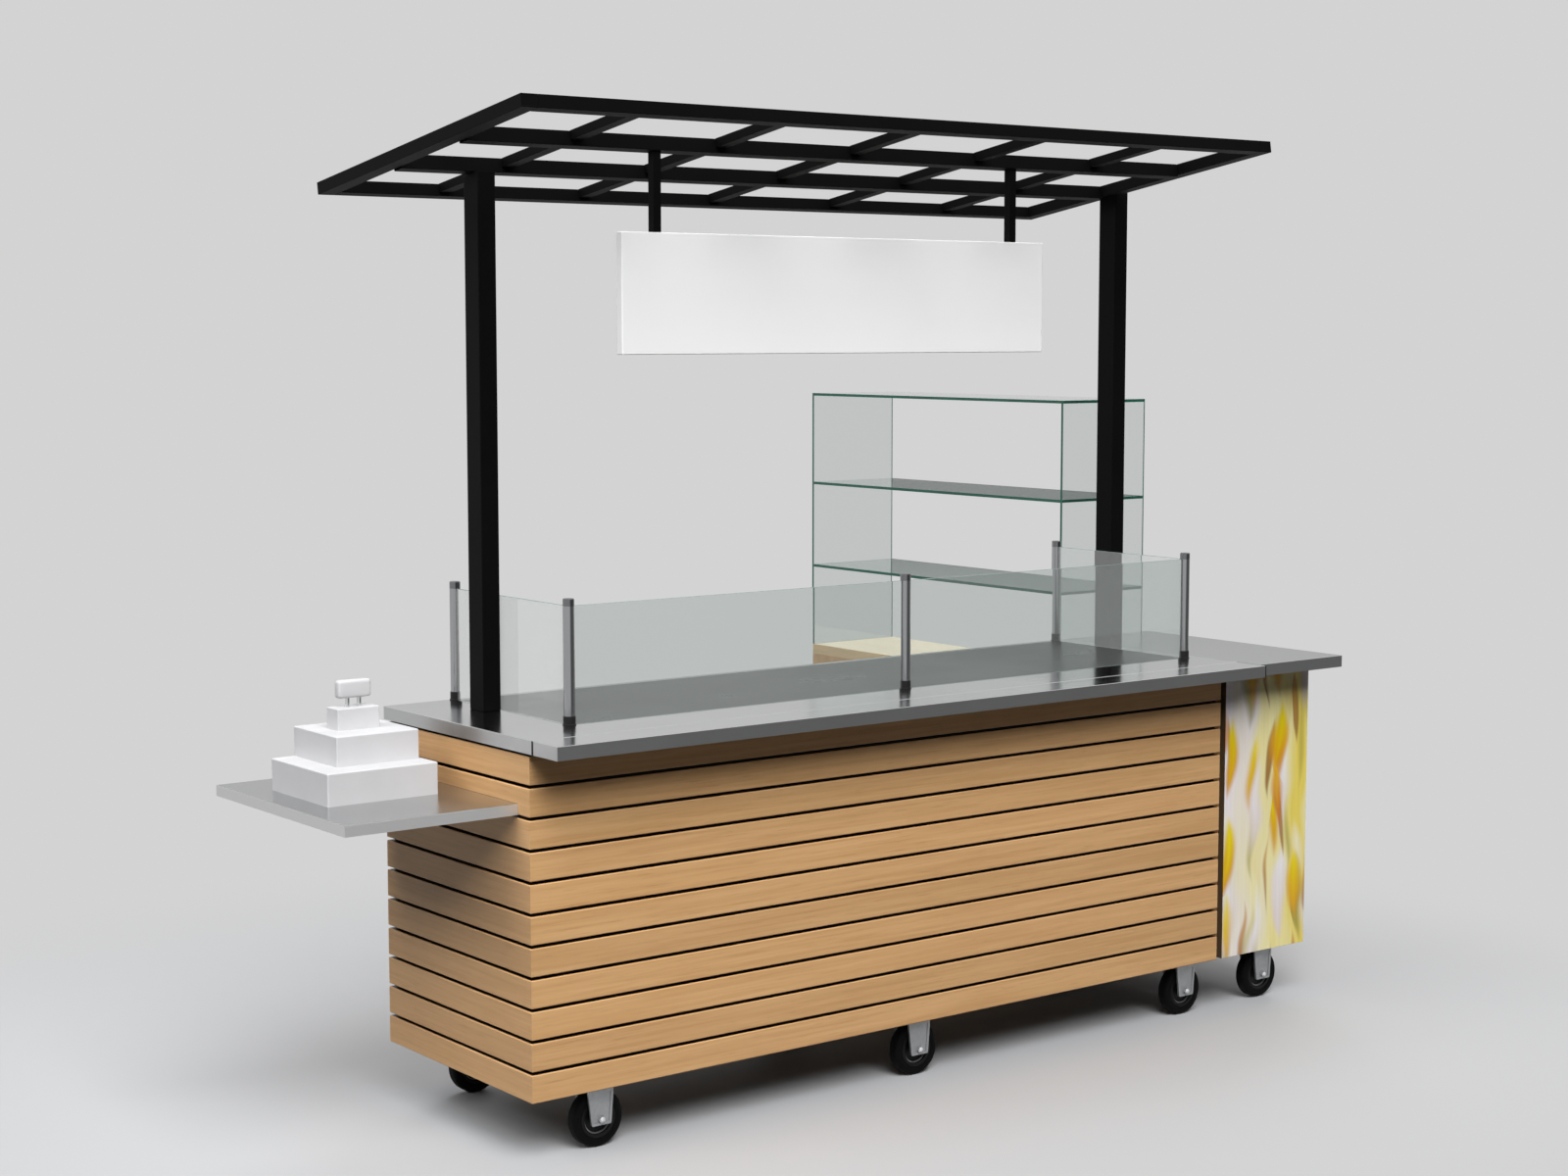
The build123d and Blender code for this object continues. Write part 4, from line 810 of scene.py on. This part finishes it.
softboxes = {
    "keySoftbox": {"power": 2000.0, "size": 7.5, "place": (-3.2, -8.0, 9.7)},
    "leftSoftbox": {"power": 500.0, "size": 5.0, "place": (-7.4, -0.2, 7.0)},
    "backSoftbox": {"power": 70.0, "size": 5.0, "place": (1.6, 3.4, 6.4)},
    "fillSoftbox": {"power": 330.0, "size": 5.0, "place": (6.8, 5.2, 5.0)},
}
gloomColour = (studio["gloom"],) * 3 + (1.0,)
ceilingColour = (studio["ceiling"],) * 3 + (1.0,)
world = bpy.data.worlds.new("studioWorld")
bpy.context.scene.world = world
world.use_nodes = True
tree = world.node_tree
tree.nodes.clear()
ray = addNode(tree, "LightPath", {})
outward = addNode(tree, "TexCoord", {}).outputs["Generated"]
high = addNode(tree, "SeparateXYZ", {0: outward}).outputs["Z"]
bright = addNode(tree, "VectorMath", {"operation": "DOT_PRODUCT", 0: outward, 1: studio["gloomTowards"]})
bright = addNode(tree, "MapRange", {0: bright, 1: studio["gloomInner"], 2: studio["gloomOuter"]})
dim = addNode(tree, "MapRange", {
    0: high, 1: studio["horizonLow"], 2: studio["horizonHigh"], 3: studio["horizonDim"], 4: 1.0})
skirt = addNode(tree, "MapRange", {0: high, 1: studio["skirtLow"], 2: studio["skirtHigh"], 3: 1.0, 4: 0.0})
dim = addNode(tree, "Math", {"operation": "MAXIMUM", 0: dim, 1: skirt})
wall = addNode(tree, "VectorMath", {
    "operation": "SCALE", 0: linear(studio["backdrop"])[:3], "Scale": dim})
mirrored = addNode(tree, "Mix", {0: bright, 6: gloomColour, 7: wall})
cloth = addNode(tree, "MapRange", {0: high, 1: studio["ceilingLow"], 2: studio["ceilingHigh"]})
mirrored = addNode(tree, "Mix", {0: cloth, 6: mirrored, 7: ceilingColour})
overhead = addNode(tree, "MapRange", {
    0: high, 1: studio["ambientFrom"], 2: studio["ambientTo"],
    3: studio["ambientLow"] * studio["ambient"], 4: studio["ambient"]})
seen = addNode(tree, "Math", {
    "operation": "MAXIMUM", 0: ray.outputs["Is Camera Ray"], 1: ray.outputs["Is Transmission Ray"]})
light = addNode(tree, "Mix", {0: ray.outputs["Is Glossy Ray"], 6: overhead, 7: mirrored})
light = addNode(tree, "Mix", {0: seen, 6: light, 7: studio["backdrop"]})
background = addNode(tree, "Background", {"Color": light, "Strength": 1.0})
addNode(tree, "OutputWorld", {"Surface": background})

for name, box in softboxes.items():
    lamp = bpy.data.lights.new(name, "AREA")
    lamp.energy = box["power"]
    lamp.size = box["size"]
    lampObject = bpy.data.objects.new(name, lamp)
    lampObject.location = box["place"]
    aim = Vector(studio["lampsAim"]) - lampObject.location
    lampObject.rotation_euler = aim.to_track_quat("-Z", "Y").to_euler()
    lampObject.visible_camera = False
    lampObject.visible_transmission = False
    lampObject.visible_glossy = False  # polished metal mirrors only the studio round it
    bpy.context.scene.collection.objects.link(lampObject)

# Painted studio floor: matt near the cart, where it takes the shadow, and one with the backdrop far away
floorMaterial, tree, floorPlace = newMaterial("studioPaint")
ray = addNode(tree, "LightPath", {})
seen = addNode(tree, "Math", {
    "operation": "MAXIMUM", 0: ray.outputs["Is Camera Ray"], 1: ray.outputs["Is Transmission Ray"]})
shown = addNode(tree, "Math", {"operation": "MAXIMUM", 0: seen, 1: ray.outputs["Is Glossy Ray"]})
outside = addNode(tree, "VectorMath", {"operation": "ABSOLUTE", 0: floorPlace})
outside = addNode(tree, "VectorMath", {"operation": "SUBTRACT", 0: outside, 1: (*cadBox[1][:2], 0.0)})
outside = addNode(tree, "VectorMath", {"operation": "MAXIMUM", 0: outside, 1: (0.0, 0.0, 0.0)})
distance = addNode(tree, "VectorMath", {"operation": "LENGTH", 0: outside})
far = addNode(tree, "MapRange", {
    "interpolation_type": "SMOOTHSTEP", 0: distance, 1: studio["floorClear"], 2: studio["floorGone"]})
ahead = addNode(tree, "SeparateXYZ", {0: floorPlace}).outputs["Y"]
ahead = addNode(tree, "MapRange", {0: ahead, 1: studio["gloomNear"], 2: studio["gloomFar"]})
aimed = addNode(tree, "VectorMath", {"operation": "NORMALIZE", 0: floorPlace})
aimed = addNode(tree, "VectorMath", {"operation": "DOT_PRODUCT", 0: aimed, 1: studio["gloomTowards"]})
aimed = addNode(tree, "MapRange", {0: aimed, 1: studio["gloomOuter"], 2: studio["gloomInner"]})
dark = addNode(tree, "Math", {"operation": "MULTIPLY", 0: ahead, 1: aimed})
dark = addNode(tree, "Math", {"operation": "MULTIPLY", 0: dark, 1: ray.outputs["Is Glossy Ray"]})
paintColour = addNode(tree, "Mix", {0: shown, 6: studio["floorBounce"], 7: studio["floor"]})
hazeColour = addNode(tree, "Mix", {0: shown, 6: studio["floorBounce"], 7: studio["backdrop"]})
paint = addNode(tree, "BsdfPrincipled", {"Base Color": paintColour, "Roughness": studio["floorRoughness"]})
haze = addNode(tree, "Emission", {"Color": hazeColour, "Strength": 1.0})
floorMix = addNode(tree, "MixShader", {0: far, 1: paint, 2: haze})
gloom = addNode(tree, "Emission", {"Color": gloomColour, "Strength": 1.0})
floorMix = addNode(tree, "MixShader", {0: dark, 1: floorMix, 2: gloom})
addNode(tree, "OutputMaterial", {"Surface": floorMix})
span = studio["floorSpan"]
floorMesh = bpy.data.meshes.new("studioFloor")
floorMesh.from_pydata(
    [(-span, -span, 0), (span, -span, 0), (span, span, 0), (-span, span, 0)], [], [(0, 1, 2, 3)])
floorMesh.materials.append(floorMaterial)
floor = bpy.data.objects.new("studioFloor", floorMesh)
bpy.context.scene.collection.objects.link(floor)
print("studio lit")
